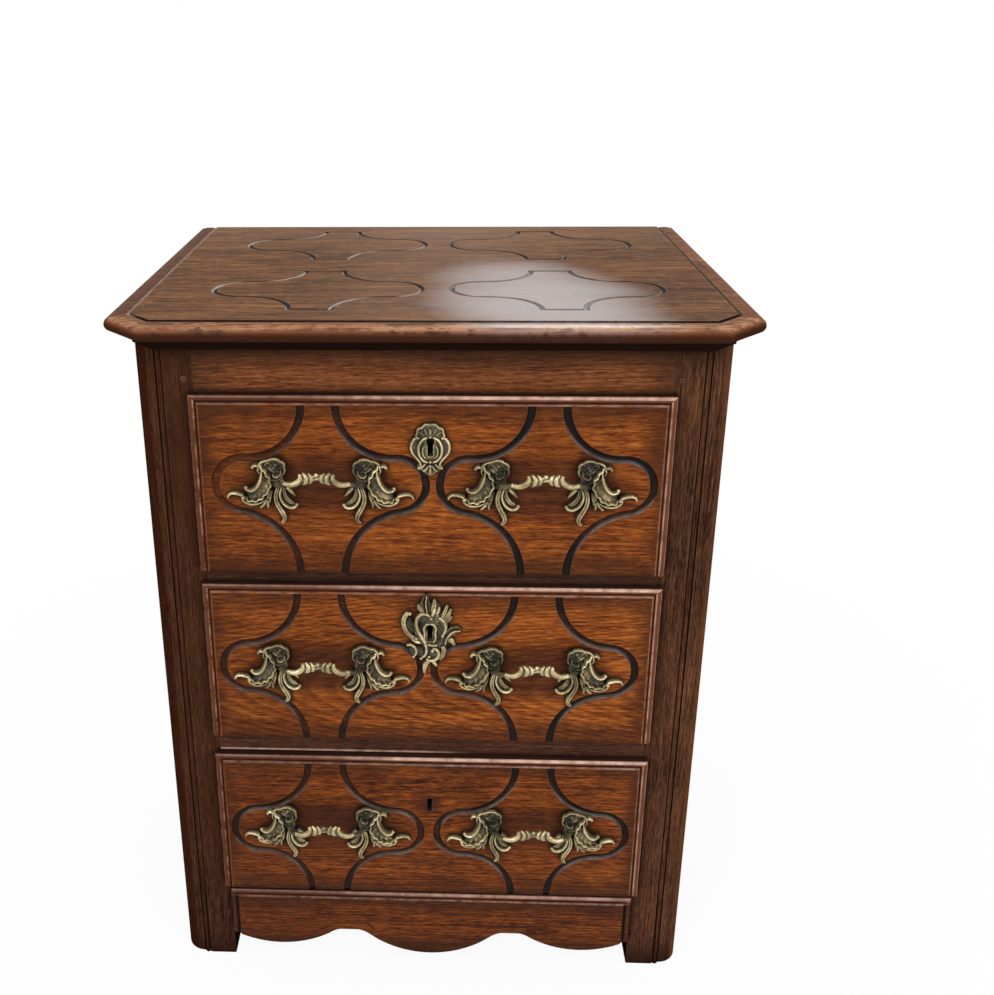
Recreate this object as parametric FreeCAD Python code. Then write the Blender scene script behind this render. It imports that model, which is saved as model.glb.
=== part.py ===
import FreeCAD, Part
import math
import os

# Oak commode: a pegged frame with three lipped drawers, carved cartouche lines and cast brass pulls.
# Millimetres. X runs to the right, the front faces -Y, Z is up, and the origin is on the floor
# under the middle of the whole.

V = FreeCAD.Vector

# Heights, stacked up from the floor
apron_floor_gap = 16.5
apron_height = 95.5
apron_to_drawer = 6.0
lower_drawer_height = 202.0
middle_drawer_height = 206.0
upper_drawer_height = 211.0
drawer_bottom_gap = 1.5
lip_overlap_top = 9.0
lower_lip_overlap_top = -1.0
divider_height = 24.0
frieze_height = 61.0
top_thickness = 32.0

# Plan of the frame
opening_width = 508.0
front_post_width = 65.0
front_post_depth = 52.0
rear_post_width = 50.0
rear_post_depth = 45.0
body_depth = 487.0
front_overhang = 41.0
back_overhang = 12.0
side_overhang = 26.5

# Front posts: a flat stile, a bead between two quirks, and a rounded corner
post_stile = 33.0
post_bead = 8.0
post_quirk = 3.0
foot_chamfer = 3.0

# Top: a field inside a quirk, then a half-round nose over a deep cove
nose_width = 26.0
nose_quirk_width = 2.5
nose_quirk_depth = 1.8
nose_radius = 8.5
nose_drop = 1.4
nose_crown = 0.5
cove_start = 14.0
cove_end = 26.0
cove_hollow_in = 8.6
cove_hollow_down = 4.4
corner_clip = 28.0

# Carved lines of the top
top_line_width = 7.0
top_line_depth = 2.4
top_bar_depth = 2.1
top_pattern_shift = 5.5
top_cartouche_x = 136.0
top_cartouche_front = 162.0
top_cartouche_pitch = 250.0
top_cartouche_half_length = 119.0
top_cartouche_half_height = 91.0
top_cartouche_tip = 36.0
top_cartouche_bar = 23.0

# Rails, panels and pegs
frieze_thickness = 34.0
apron_thickness = 32.0
apron_proud = 8.0
tenon_length = 28.0
tenon_thickness = 10.0
tenon_shoulder = 6.0
side_rail_thickness = 26.0
side_rail_inset = 3.0
side_top_rail_height = 72.0
side_bottom_rail_height = 90.0
side_bottom_rail_floor = 60.0
panel_thickness = 14.0
panel_groove = 9.0
panel_gap = 0.3
panel_bevel_width = 42.0
panel_field_step = 2.0
panel_tongue = 8.0
back_rail_thickness = 24.0
back_rail_inset = 6.0
back_rail_height = 62.0
back_rail_floor = 78.0
back_board_thickness = 12.0
back_board_count = 4
back_board_gap = 0.6
peg_radius = 3.8
peg_proud = 0.8
peg_depth = 30.0
peg_from_shoulder = 10.0
frieze_peg_height = 24.0

# Apron outline, measured down from its top edge
apron_lobe_drop = 84.5
apron_notch_drop = 60.0
apron_joint_drop = 67.0
apron_lobe_x = 188.0
apron_notch_x = 103.0
apron_notch_half = 26.0
apron_notch_flat = 12.0
apron_notch_ease = 1.0

# Runners, guides and kickers
runner_width = 47.0
runner_height = 22.0
runner_bearing = 16.0
guide_width = 16.0
guide_height = 18.0
kicker_height = 22.0
drawer_running_gap = 0.3

# Drawer boxes
lip_overlap_side = 6.0
lip_thickness = 10.0
lip_gap = 0.3
front_tongue = 16.0
drawer_side_gap = 1.5
drawer_top_gap = 1.5
drawer_side_thickness = 12.0
drawer_side_drop = 8.0
drawer_rear_gap = 34.0
drawer_back_thickness = 12.0
drawer_back_drop = 6.0
housing_depth = 4.0
bottom_thickness = 8.0
bottom_rise = 10.0
bottom_groove = 5.0
bottom_gap = 0.2
dovetail_count = 4
dovetail_length = 12.0
dovetail_flare = 3.0
dovetail_share = 0.58

# Bead worked round three sides of each drawer front and of the apron
bead_width = 7.5
bead_crest = 0.6
bead_quirk = 3.0
bead_edge = 5.0
bead_chamfer = 3.5

# Carved lines of the drawer fronts: one value for each drawer where the carver's hand differs
line_width = 9.0
line_depth = 3.2
line_half_length = 115.5
line_tip = 32.0
line_centre = 123.0
upper_line_tip_height = 108.0
middle_line_tip_height = 98.5
lower_line_tip_height = 93.0
upper_line_gap_top = 18.5
upper_line_gap_bottom = 25.0
middle_line_gap_top = 25.0
middle_line_gap_bottom = 21.0
lower_line_gap_top = 21.0
lower_line_gap_bottom = 22.0
upper_pattern_shift = 3.0
middle_pattern_shift = -2.8
lower_pattern_shift = 1.0
lower_left_shift = -4.0

# The leaf and scroll outlines of the metalwork are drawn in this unit
drawing_unit = 1.0

# Pulls: two leaf mounts and an S-ended bar, each mount on a stud with a square nut
pull_x = 123.0
upper_right_pull_shift = -4.5
upper_pull_height = 102.5
middle_pull_height = 92.5
lower_pull_height = 93.0
mount_plate = 4.0
mount_leaf = 8.0
shell_x = 53.5
shell_z = 25.0
shell_radius = 13.5
shell_scallops = 7
shell_scallop_bulge = 2.2
shell_start_angle = -40.0
shell_sweep_angle = 260.0
shell_back_relief = 6.0
shell_front_relief = 30.0
boss_x = 43.5
boss_z = 19.0
boss_radius = 6.5
boss_flat = 38.0
bar_radius = 3.4
bar_stand = 32.0
bar_bend_radius = 16.0
bar_bend_angle = 40.0
bar_collar_radius = 4.8
bar_collar_length = 3.0
bar_knob_radius = 5.2
stud_radius = 2.5
stud_clearance = 0.3
stud_end = 6.0
nut_width = 11.0
nut_thickness = 4.0
nut_clearance = 0.05

# Keyholes, escutcheons and locks
key_radius = 4.4
key_slot_width = 5.6
key_slot_drop = 16.0
upper_key_height = 160.0
middle_key_height = 153.5
lower_key_height = 139.5
escutcheon_plate = 2.6
escutcheon_rim = 1.8
escutcheon_rim_width = 3.0
pin_radius = 1.0
pin_head_radius = 2.0
pin_length = 12.0
lock_plate_width = 92.0
lock_plate_thickness = 2.5
lock_case_width = 62.0
lock_case_depth = 13.0
lock_below_key = 26.0
lock_top_gap = 2.0
lock_floor = 9.0
key_pin_radius = 1.8
key_pin_length = 9.0
bolt_width = 24.0
bolt_thickness = 6.0
bolt_length = 30.0
bolt_throw = 9.0
bolt_clearance = 0.3
bolt_setback = 3.0
mortise_gap = 1.5
screw_radius = 1.7
screw_head_radius = 3.4
screw_head_height = 1.6
screw_length = 14.0
screw_inset = 8.0

# How far a cutting shape runs past the wood that it leaves
overreach = 4.0

# Levels and planes that follow from the sizes above
apron_top = apron_floor_gap + apron_height
lower_bottom = apron_top + apron_to_drawer
lower_top = lower_bottom + lower_drawer_height
lower_opening_top = lower_top - lower_lip_overlap_top
middle_bottom = lower_opening_top + divider_height + drawer_bottom_gap
middle_top = middle_bottom + middle_drawer_height
middle_opening_top = middle_top - lip_overlap_top
upper_bottom = middle_opening_top + divider_height + drawer_bottom_gap
upper_top = upper_bottom + upper_drawer_height
upper_opening_top = upper_top - lip_overlap_top
frame_top = upper_opening_top + frieze_height
overall_height = frame_top + top_thickness

opening_half = opening_width / 2
body_half = opening_half + front_post_width
top_half = body_half + side_overhang
top_depth = front_overhang + body_depth + back_overhang
pull_reach = lip_thickness + bar_stand + bar_knob_radius
front_reach = max(front_overhang, pull_reach)
top_back = (front_reach + body_depth + back_overhang) / 2
top_front = top_back - top_depth
face_y = top_front + front_overhang
lip_y = face_y - lip_thickness
back_y = top_back - back_overhang
front_post_back = face_y + front_post_depth
rear_post_front = back_y - rear_post_depth
rear_post_inner = body_half - rear_post_width
front_inner_y = face_y + front_tongue
drawer_side_outer = opening_half - drawer_side_gap
drawer_side_inner = drawer_side_outer - drawer_side_thickness
side_rail_outer = body_half - side_rail_inset
side_rail_inner = side_rail_outer - side_rail_thickness
panel_middle_x = (side_rail_outer + side_rail_inner) / 2
back_rail_back = back_y - back_rail_inset
back_rail_front = back_rail_back - back_rail_thickness
back_board_middle_y = (back_rail_back + back_rail_front) / 2
drawer_end_y = back_rail_front - drawer_rear_gap
bolt_y = front_inner_y + bolt_setback

drawers = {
    "upper": dict(
        bottom=upper_bottom, top=upper_top, opening_top=upper_opening_top,
        line_tip_height=upper_line_tip_height,
        gap_top=upper_line_gap_top, gap_bottom=upper_line_gap_bottom,
        pull_height=upper_pull_height, key_height=upper_key_height,
        shifts={-1: upper_pattern_shift, 1: upper_pattern_shift},
        pull_shifts={-1: upper_pattern_shift, 1: upper_pattern_shift + upper_right_pull_shift},
    ),
    "middle": dict(
        bottom=middle_bottom, top=middle_top, opening_top=middle_opening_top,
        line_tip_height=middle_line_tip_height,
        gap_top=middle_line_gap_top, gap_bottom=middle_line_gap_bottom,
        pull_height=middle_pull_height, key_height=middle_key_height,
        shifts={-1: middle_pattern_shift, 1: middle_pattern_shift},
        pull_shifts={-1: middle_pattern_shift, 1: middle_pattern_shift},
    ),
    "lower": dict(
        bottom=lower_bottom, top=lower_top, opening_top=lower_opening_top,
        line_tip_height=lower_line_tip_height,
        gap_top=lower_line_gap_top, gap_bottom=lower_line_gap_bottom,
        pull_height=lower_pull_height, key_height=lower_key_height,
        shifts={-1: lower_pattern_shift + lower_left_shift, 1: lower_pattern_shift},
        pull_shifts={-1: lower_pattern_shift + lower_left_shift, 1: lower_pattern_shift},
    ),
}


# Shared helpers

def box(x0, x1, y0, y1, z0, z1):
    return Part.makeBox(x1 - x0, y1 - y0, z1 - z0, V(x0, y0, z0))


def mirrored(shape):
    return shape.mirror(V(0, 0, 0), V(1, 0, 0))


def both_sides(shape):
    return [shape, mirrored(shape)]


def fused(shapes):
    return shapes[0].multiFuse(shapes[1:]).removeSplitter() if len(shapes) > 1 else shapes[0]


def cut_all(shape, tools):
    return shape.cut(list(tools)) if tools else shape


def face_of(edges):
    return Part.Face(Part.Wire(edges))


def line(start, end):
    return Part.LineSegment(start, end).toShape()


def arc(start, middle, end):
    return Part.Arc(start, middle, end).toShape()


def save(name, shape):
    shape.exportStep(os.path.join("parts", name + ".step"))


def edge_cutter(profile, origin, inward, into, reach):
    # Swings a profile, drawn as x inward from an edge and y into the wood, to that edge and runs it along.
    along = inward.cross(into)
    placing = FreeCAD.Matrix(
        inward.x, into.x, along.x, origin.x,
        inward.y, into.y, along.y, origin.y,
        inward.z, into.z, along.z, origin.z,
        0, 0, 0, 1,
    )
    solid = face_of(profile).extrude(V(0, 0, 2 * reach))
    solid.translate(V(0, 0, -reach))
    return solid.transformed(placing)


def mitred_cutters(profile, corners, inwards, into, width, depth):
    # Edge cutters along a run of edges, mitred where two edges meet and run out past both ends.
    out = 2 * overreach
    cutters = []
    for index, inward in enumerate(inwards):
        start, end = corners[index], corners[index + 1]
        run = V(end - start).normalize()
        start_mitre = end_mitre = inward
        if index > 0:
            start_mitre = (inward + inwards[index - 1]) * (1 / (1 + inward.dot(inwards[index - 1])))
        else:
            start = start - run * out
        if index < len(inwards) - 1:
            end_mitre = (inward + inwards[index + 1]) * (1 / (1 + inward.dot(inwards[index + 1])))
        else:
            end = end + run * out
        room = [
            start - start_mitre * out, end - end_mitre * out,
            end + end_mitre * (width + out), start + start_mitre * (width + out),
        ]
        prism = Part.Face(Part.makePolygon(room + room[:1])).extrude(into * (depth + 2 * out))
        prism.translate(into * -out)
        cutter = edge_cutter(profile, start, inward, into, (end - start).Length + width + out)
        cutters.append(cutter.common(prism))
    return cutters


def bead_waste():
    # What a plane takes off around the bead: round to its crest, down to the quirk, up the chamfer.
    outside = -overreach
    above = -overreach
    edge = V(0, bead_edge, 0)
    crest = V(bead_width / 2, bead_crest, 0)
    quirk = V(bead_width, bead_quirk, 0)
    field = V(bead_width + bead_chamfer, 0, 0)
    return [
        arc(edge, crest, quirk),
        line(quirk, field),
        line(field, V(field.x, above, 0)),
        line(V(field.x, above, 0), V(outside, above, 0)),
        line(V(outside, above, 0), V(outside, bead_edge, 0)),
        line(V(outside, bead_edge, 0), edge),
    ]


def bead_cutters(corners):
    # Bead up the left edge, along the top and down the right edge of a board's front.
    inwards = [V(1, 0, 0), V(0, 0, -1), V(-1, 0, 0)]
    return mitred_cutters(bead_waste(), corners, inwards, V(0, 1, 0), bead_width + bead_chamfer, bead_edge)


def groove_offset(width, depth):
    # A round-bottomed groove is a tube whose axis stands off the surface.
    radius = (width * width / 4 + depth * depth) / (2 * depth)
    return radius, radius - depth


def cartouche_arcs(half_length, tip, gap_top, rise, gap_bottom, drop):
    # One side of a cartouche about its tip level: a hollow arc, the round tip, a hollow arc.
    # Each hollow arc starts upright at the gap and meets the tip's arc tangentially.
    tip_centre = V(half_length - tip, 0, 0)

    def hollow(gap, height, sign):
        run = half_length - tip - gap
        radius = (run * run + height * height - tip * tip) / (2 * (half_length - gap))
        centre = V(gap + radius, sign * height, 0)
        towards = (tip_centre - centre).normalize()
        meet = centre + towards * radius
        halfway = (V(-1, 0, 0) + towards).normalize()
        return V(gap, sign * height, 0), centre + halfway * radius, meet

    top_start, top_middle, top_meet = hollow(gap_top, rise, 1)
    low_start, low_middle, low_meet = hollow(gap_bottom, drop, -1)
    return [
        (top_start, top_middle, top_meet),
        (top_meet, V(half_length, 0, 0), low_meet),
        (low_meet, low_middle, low_start),
    ]


def groove_along(edges, start, direction, radius):
    ring = Part.Wire([Part.makeCircle(radius, start, direction)])
    return Part.Wire(edges).makePipeShell([ring], True, False)


def leaf(start, via_one, end, via_two):
    # A leaf or scroll outline between two points, bounded by two arcs, in x and z.
    points = [V(p[0], 0, p[1]) * drawing_unit for p in (start, via_one, end, via_two)]
    return face_of([arc(points[0], points[1], points[2]), arc(points[2], points[3], points[0])])


# Frame: posts, rails, panels

def rail_across(half, y0, y1, z0, z1):
    # A rail along X with a tenon at each end; returns the rail and its right-hand tenon.
    middle = (y0 + y1) / 2
    tenon = box(
        half, half + tenon_length,
        middle - tenon_thickness / 2, middle + tenon_thickness / 2,
        z0 + tenon_shoulder, z1 - tenon_shoulder,
    )
    return fused([box(-half, half, y0, y1, z0, z1)] + both_sides(tenon)), tenon


def side_rail(z0, z1):
    # A rail along Y on the right side, with a tenon into each post.
    body = box(side_rail_inner, side_rail_outer, front_post_back, rear_post_front, z0, z1)
    tenons = [
        box(
            panel_middle_x - tenon_thickness / 2, panel_middle_x + tenon_thickness / 2,
            y0, y1, z0 + tenon_shoulder + panel_groove, z1 - tenon_shoulder - panel_groove,
        )
        for y0, y1 in (
            (front_post_back - tenon_length, front_post_back),
            (rear_post_front, rear_post_front + tenon_length),
        )
    ]
    return fused([body] + tenons), tenons


def front_post_blank():
    inner = opening_half
    bead_start = inner + post_stile
    bead_end = bead_start + post_bead
    radius = body_half - bead_end
    diagonal = radius * math.sin(math.radians(45))
    front = [
        V(inner, face_y, 0),
        V(bead_start, face_y, 0),
        V(bead_start, face_y + post_quirk, 0),
        V(bead_start + post_bead / 2, face_y, 0),
        V(bead_end, face_y + post_quirk, 0),
        V(bead_end, face_y, 0),
        V(bead_end + diagonal, face_y + radius - diagonal, 0),
        V(body_half, face_y + radius, 0),
        V(body_half, front_post_back, 0),
        V(inner, front_post_back, 0),
    ]
    outline = [
        line(front[0], front[1]),
        line(front[1], front[2]),
        arc(front[2], front[3], front[4]),
        line(front[4], front[5]),
        arc(front[5], front[6], front[7]),
        line(front[7], front[8]),
        line(front[8], front[9]),
        line(front[9], front[0]),
    ]
    post = face_of(outline).extrude(V(0, 0, frame_top))
    return post.cut(foot_waste(bead_end, radius))


def foot_waste(corner_x, radius):
    # The chamfer under the rounded corner: a slanted section turned about the corner, then run backwards.
    axis = V(corner_x, face_y + radius, 0)
    section = [
        V(radius - foot_chamfer, 0, 0),
        V(radius, 0, foot_chamfer),
        V(radius + overreach, 0, foot_chamfer),
        V(radius + overreach, 0, -overreach),
        V(radius - foot_chamfer, 0, -overreach),
    ]
    face = Part.Face(Part.makePolygon(section + section[:1])).translated(axis)
    turned = face.revolve(axis, V(0, 0, 1), -90)
    straight = face.extrude(V(0, front_post_depth, 0))
    return [turned, straight]


def side_panel():
    # A fielded panel that floats in the grooves of the posts and the side rails.
    y0 = front_post_back - panel_groove + panel_gap
    y1 = rear_post_front + panel_groove - panel_gap
    z0 = side_bottom_rail_floor + side_bottom_rail_height - panel_groove + panel_gap
    z1 = frame_top - side_top_rail_height + panel_groove - panel_gap
    x0 = panel_middle_x - panel_thickness / 2
    x1 = panel_middle_x + panel_thickness / 2
    panel = box(x0, x1, y0, y1, z0, z1)
    over = -overreach
    tongue_drop = panel_thickness - panel_tongue
    slope = [
        line(V(over, tongue_drop, 0), V(panel_groove, tongue_drop, 0)),
        line(V(panel_groove, tongue_drop, 0), V(panel_bevel_width, panel_field_step, 0)),
        line(V(panel_bevel_width, panel_field_step, 0), V(panel_bevel_width, over, 0)),
        line(V(panel_bevel_width, over, 0), V(over, over, 0)),
        line(V(over, over, 0), V(over, tongue_drop, 0)),
    ]
    middle = V(x1, (y0 + y1) / 2, (z0 + z1) / 2)
    into = V(-1, 0, 0)
    edges = [
        (V(x1, y0, middle.z), V(0, 1, 0)),
        (V(x1, y1, middle.z), V(0, -1, 0)),
        (V(x1, middle.y, z0), V(0, 0, 1)),
        (V(x1, middle.y, z1), V(0, 0, -1)),
    ]
    reach = max(y1 - y0, z1 - z0)
    return cut_all(panel, [edge_cutter(slope, origin, inward, into, reach) for origin, inward in edges])


def panel_slot():
    # The groove that the panel's tongue fits, a gap wider and deeper than the tongue.
    tongue_inner = panel_middle_x - panel_thickness / 2
    tongue_outer = tongue_inner + panel_tongue
    return box(
        tongue_inner - panel_gap, tongue_outer + panel_gap,
        front_post_back - panel_groove, rear_post_front + panel_groove,
        side_bottom_rail_floor + side_bottom_rail_height - panel_groove,
        frame_top - side_top_rail_height + panel_groove,
    )


def back_boards():
    z0 = back_rail_floor + back_rail_height - panel_groove + panel_gap
    z1 = frame_top - back_rail_height + panel_groove - panel_gap
    reach = rear_post_inner + panel_groove - panel_gap
    pitch = 2 * reach / back_board_count
    y0 = back_board_middle_y - back_board_thickness / 2
    y1 = back_board_middle_y + back_board_thickness / 2
    boards = []
    for index in range(back_board_count):
        left = -reach + index * pitch
        boards.append(box(left + back_board_gap / 2, left + pitch - back_board_gap / 2, y0, y1, z0, z1))
    return Part.makeCompound(boards)


def back_slot():
    return box(
        -rear_post_inner - panel_groove, rear_post_inner + panel_groove,
        back_board_middle_y - back_board_thickness / 2 - panel_gap,
        back_board_middle_y + back_board_thickness / 2 + panel_gap,
        back_rail_floor + back_rail_height - panel_groove,
        frame_top - back_rail_height + panel_groove,
    )


def frame_pegs():
    # Pegs that lock the frieze and side rail tenons, their ends a little proud of the wood.
    across = Part.makeCylinder(
        peg_radius, peg_depth + peg_proud,
        V(opening_half + peg_from_shoulder, face_y - peg_proud, upper_opening_top + frieze_peg_height),
        V(0, 1, 0),
    )
    levels = [
        side_bottom_rail_floor + side_bottom_rail_height / 2,
        frame_top - side_top_rail_height / 2,
    ]
    rows = [front_post_back - peg_from_shoulder, rear_post_front + peg_from_shoulder]
    sides = [
        Part.makeCylinder(peg_radius, peg_depth + peg_proud, V(body_half + peg_proud, y, z), V(-1, 0, 0))
        for y in rows
        for z in levels
    ]
    return [across] + sides


def apron_board():
    # Bead at the top and both ends, and a lower edge of lobes and notches made of arcs.
    front = face_y - apron_proud
    end_z = apron_top - apron_joint_drop
    notch_z = apron_top - apron_notch_drop
    lobe_z = apron_top - apron_lobe_drop
    inner = apron_notch_x - apron_notch_half
    outer = apron_notch_x + apron_notch_half
    flat_in = apron_notch_x - apron_notch_flat
    flat_out = apron_notch_x + apron_notch_flat
    ease_in = (inner + flat_in) / 2
    ease_out = (outer + flat_out) / 2
    ease_z = (end_z + notch_z) / 2 + apron_notch_ease

    def at(x, z):
        return V(x, front, z)

    half = opening_half
    outline = [
        line(at(-half, apron_top), at(half, apron_top)),
        line(at(half, apron_top), at(half, end_z)),
        arc(at(half, end_z), at(apron_lobe_x, lobe_z), at(outer, end_z)),
        arc(at(outer, end_z), at(ease_out, ease_z), at(flat_out, notch_z)),
        line(at(flat_out, notch_z), at(flat_in, notch_z)),
        arc(at(flat_in, notch_z), at(ease_in, ease_z), at(inner, end_z)),
        arc(at(inner, end_z), at(0, apron_floor_gap), at(-inner, end_z)),
        arc(at(-inner, end_z), at(-ease_in, ease_z), at(-flat_in, notch_z)),
        line(at(-flat_in, notch_z), at(-flat_out, notch_z)),
        arc(at(-flat_out, notch_z), at(-ease_out, ease_z), at(-outer, end_z)),
        arc(at(-outer, end_z), at(-apron_lobe_x, lobe_z), at(-half, end_z)),
        line(at(-half, end_z), at(-half, apron_top)),
    ]
    board = face_of(outline).extrude(V(0, apron_thickness, 0))
    corners = [at(-half, end_z), at(-half, apron_top), at(half, apron_top), at(half, end_z)]
    board = cut_all(board, bead_cutters(corners))
    middle = front + apron_proud + tenon_shoulder + tenon_thickness
    tenon = box(
        half, half + tenon_length,
        middle - tenon_thickness / 2, middle + tenon_thickness / 2,
        end_z + tenon_shoulder, apron_top - tenon_shoulder,
    )
    return fused([board] + both_sides(tenon)), tenon


# Top

def nose_waste():
    # What the planes take off outside the quirk: round the nose, under it, and down the cove.
    outside = -overreach
    above = -overreach
    below = top_thickness + overreach
    quirk_in = nose_width
    quirk_out = nose_width - nose_quirk_width
    shoulder = V(quirk_out, nose_drop, 0)
    crown = V(nose_radius, nose_drop, 0)
    belly = V(0, nose_drop + nose_radius, 0)
    foot = V(nose_radius, nose_drop + 2 * nose_radius, 0)
    slant = nose_radius * (1 - math.sqrt(0.5))
    cove_top = V(cove_start, foot.y, 0)
    cove_low = V(cove_end, top_thickness, 0)
    return [
        line(V(quirk_in, above, 0), V(quirk_in, nose_quirk_depth, 0)),
        line(V(quirk_in, nose_quirk_depth, 0), V(quirk_out, nose_quirk_depth, 0)),
        line(V(quirk_out, nose_quirk_depth, 0), shoulder),
        arc(shoulder, V((shoulder.x + crown.x) / 2, nose_crown, 0), crown),
        arc(crown, V(slant, crown.y + slant, 0), belly),
        arc(belly, V(slant, foot.y - slant, 0), foot),
        line(foot, cove_top),
        arc(cove_top, cove_top + V(cove_hollow_in, cove_hollow_down, 0), cove_low),
        line(cove_low, V(cove_end, below, 0)),
        line(V(cove_end, below, 0), V(outside, below, 0)),
        line(V(outside, below, 0), V(outside, above, 0)),
        line(V(outside, above, 0), V(quirk_in, above, 0)),
    ]


def top_cartouche(centre_x, centre_y):
    # A closed carved line: two cartouche sides joined by a short straight bar at front and back.
    radius, stand = groove_offset(top_line_width, top_line_depth)
    bar_radius_here, bar_level = groove_offset(top_line_width, top_bar_depth)

    def placed(point, side, above):
        return V(centre_x + side * point.x, centre_y + point.y, overall_height + above)

    bar = top_cartouche_bar
    height = top_cartouche_half_height
    arcs = cartouche_arcs(top_cartouche_half_length, top_cartouche_tip, bar, height, bar, height)
    tools = []
    for side in (1, -1):
        edges = [arc(*[placed(point, side, stand) for point in points]) for points in arcs]
        tools.append(groove_along(edges, placed(arcs[0][0], side, stand), V(0, -1, 0), radius))
    reach = bar + top_line_width / 2
    for end in (1, -1):
        start = placed(V(-reach, end * height, 0), 1, bar_level)
        tools.append(Part.makeCylinder(bar_radius_here, 2 * reach, start, V(1, 0, 0)))
    return tools


def top_board():
    clip = corner_clip + nose_width * (2 - math.sqrt(2))
    corners = [
        V(-top_half, top_back, frame_top),
        V(-top_half, top_front + clip, frame_top),
        V(-top_half + clip, top_front, frame_top),
        V(top_half - clip, top_front, frame_top),
        V(top_half, top_front + clip, frame_top),
        V(top_half, top_back, frame_top),
    ]
    board = Part.Face(Part.makePolygon(corners + corners[:1])).extrude(V(0, 0, top_thickness))
    slant = math.sqrt(0.5)
    inwards = [V(1, 0, 0), V(slant, slant, 0), V(0, 1, 0), V(-slant, slant, 0), V(-1, 0, 0)]
    rim = [corner + V(0, 0, top_thickness) for corner in corners]
    board = cut_all(board, mitred_cutters(nose_waste(), rim, inwards, V(0, 0, -1), nose_width, top_thickness))
    for side in (-1, 1):
        for row in (0, 1):
            centre_x = top_pattern_shift + side * top_cartouche_x
            centre_y = top_front + top_cartouche_front + row * top_cartouche_pitch
            for tool in top_cartouche(centre_x, centre_y):
                board = board.cut(tool)
    return board


# Drawers

def drawer_levels(size):
    rest = size["bottom"] - drawer_bottom_gap + drawer_running_gap
    side_top = size["opening_top"] - drawer_side_drop
    return rest, side_top


def dovetails(rest, side_top):
    # Tails of the right-hand side board, flared towards the front, evenly spaced up the board.
    pitch = (side_top - rest) / dovetail_count
    half = pitch * dovetail_share / 2
    tails = []
    for index in range(dovetail_count):
        middle = rest + (index + 0.5) * pitch
        corners = [
            V(drawer_side_inner, front_inner_y, middle - half + dovetail_flare),
            V(drawer_side_inner, front_inner_y, middle + half - dovetail_flare),
            V(drawer_side_inner, front_inner_y - dovetail_length, middle + half),
            V(drawer_side_inner, front_inner_y - dovetail_length, middle - half),
        ]
        outline = Part.Face(Part.makePolygon(corners + corners[:1]))
        tails.append(outline.extrude(V(drawer_side_thickness, 0, 0)))
    return tails


def bottom_panel(size, gap):
    # The bottom board, or with a gap of zero the room for it in the grooves.
    reach = drawer_side_inner + bottom_groove - gap
    z0 = size["bottom"] + bottom_rise
    return box(
        -reach, reach,
        front_inner_y - bottom_groove + gap, drawer_end_y,
        z0 + gap / 2, z0 + bottom_thickness - gap / 2,
    )


def drawer_back(size, side_top, fit):
    # Stands on the bottom board and seats in a housing of each side.
    reach = drawer_side_inner + housing_depth - fit
    return box(
        -reach, reach,
        drawer_end_y - 2 * drawer_back_thickness, drawer_end_y - drawer_back_thickness,
        size["bottom"] + bottom_rise + bottom_thickness, side_top - drawer_back_drop,
    )


def drawer_sides(size):
    rest, side_top = drawer_levels(size)
    board = box(drawer_side_inner, drawer_side_outer, front_inner_y, drawer_end_y, rest, side_top)
    side = fused([board] + dovetails(rest, side_top))
    return side.cut([bottom_panel(size, 0), drawer_back(size, side_top, 0)])


def drawer_lines(size):
    # Two cartouches side by side, cut off by the bead above and running out through the lower edge.
    radius, stand = groove_offset(line_width, line_depth)
    level = size["bottom"] + size["line_tip_height"]
    rise = size["top"] - bead_width - bead_chamfer - level
    drop = size["line_tip_height"]
    arcs = cartouche_arcs(
        line_half_length, line_tip, size["gap_top"], rise, size["gap_bottom"], drop,
    )
    tools = []
    for half in (-1, 1):
        centre = size["shifts"][half] + half * line_centre
        for side in (1, -1):
            def placed(point):
                return V(centre + side * point.x, lip_y - stand, level + point.y)

            edges = [arc(*[placed(point) for point in points]) for points in arcs]
            run_out = placed(arcs[-1][2])
            edges.append(line(run_out, run_out + V(0, 0, -line_width)))
            tools.append(groove_along(edges, placed(arcs[0][0]), V(0, 0, -1), radius))
    return tools


def keyhole(key_z, y0, y1):
    # A round eye with a slot below it, along Y.
    eye = Part.makeCylinder(key_radius, y1 - y0, V(0, y0, key_z), V(0, 1, 0))
    half = key_slot_width / 2
    slot = box(-half, half, y0, y1, key_z - key_slot_drop, key_z)
    return fused([eye, slot])


def stud_places(size):
    level = size["bottom"] + size["pull_height"] + boss_z
    return [
        V(size["pull_shifts"][side] + side * pull_x + end * boss_x, 0, level)
        for side in (-1, 1)
        for end in (-1, 1)
    ]


def screw_places(size):
    key_z = size["bottom"] + size["key_height"]
    low = key_z - lock_below_key + screw_inset
    high = lock_top(size) - screw_inset
    x = lock_plate_width / 2 - screw_inset
    return [V(side * x, 0, z) for side in (-1, 1) for z in (low, high)]


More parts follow.
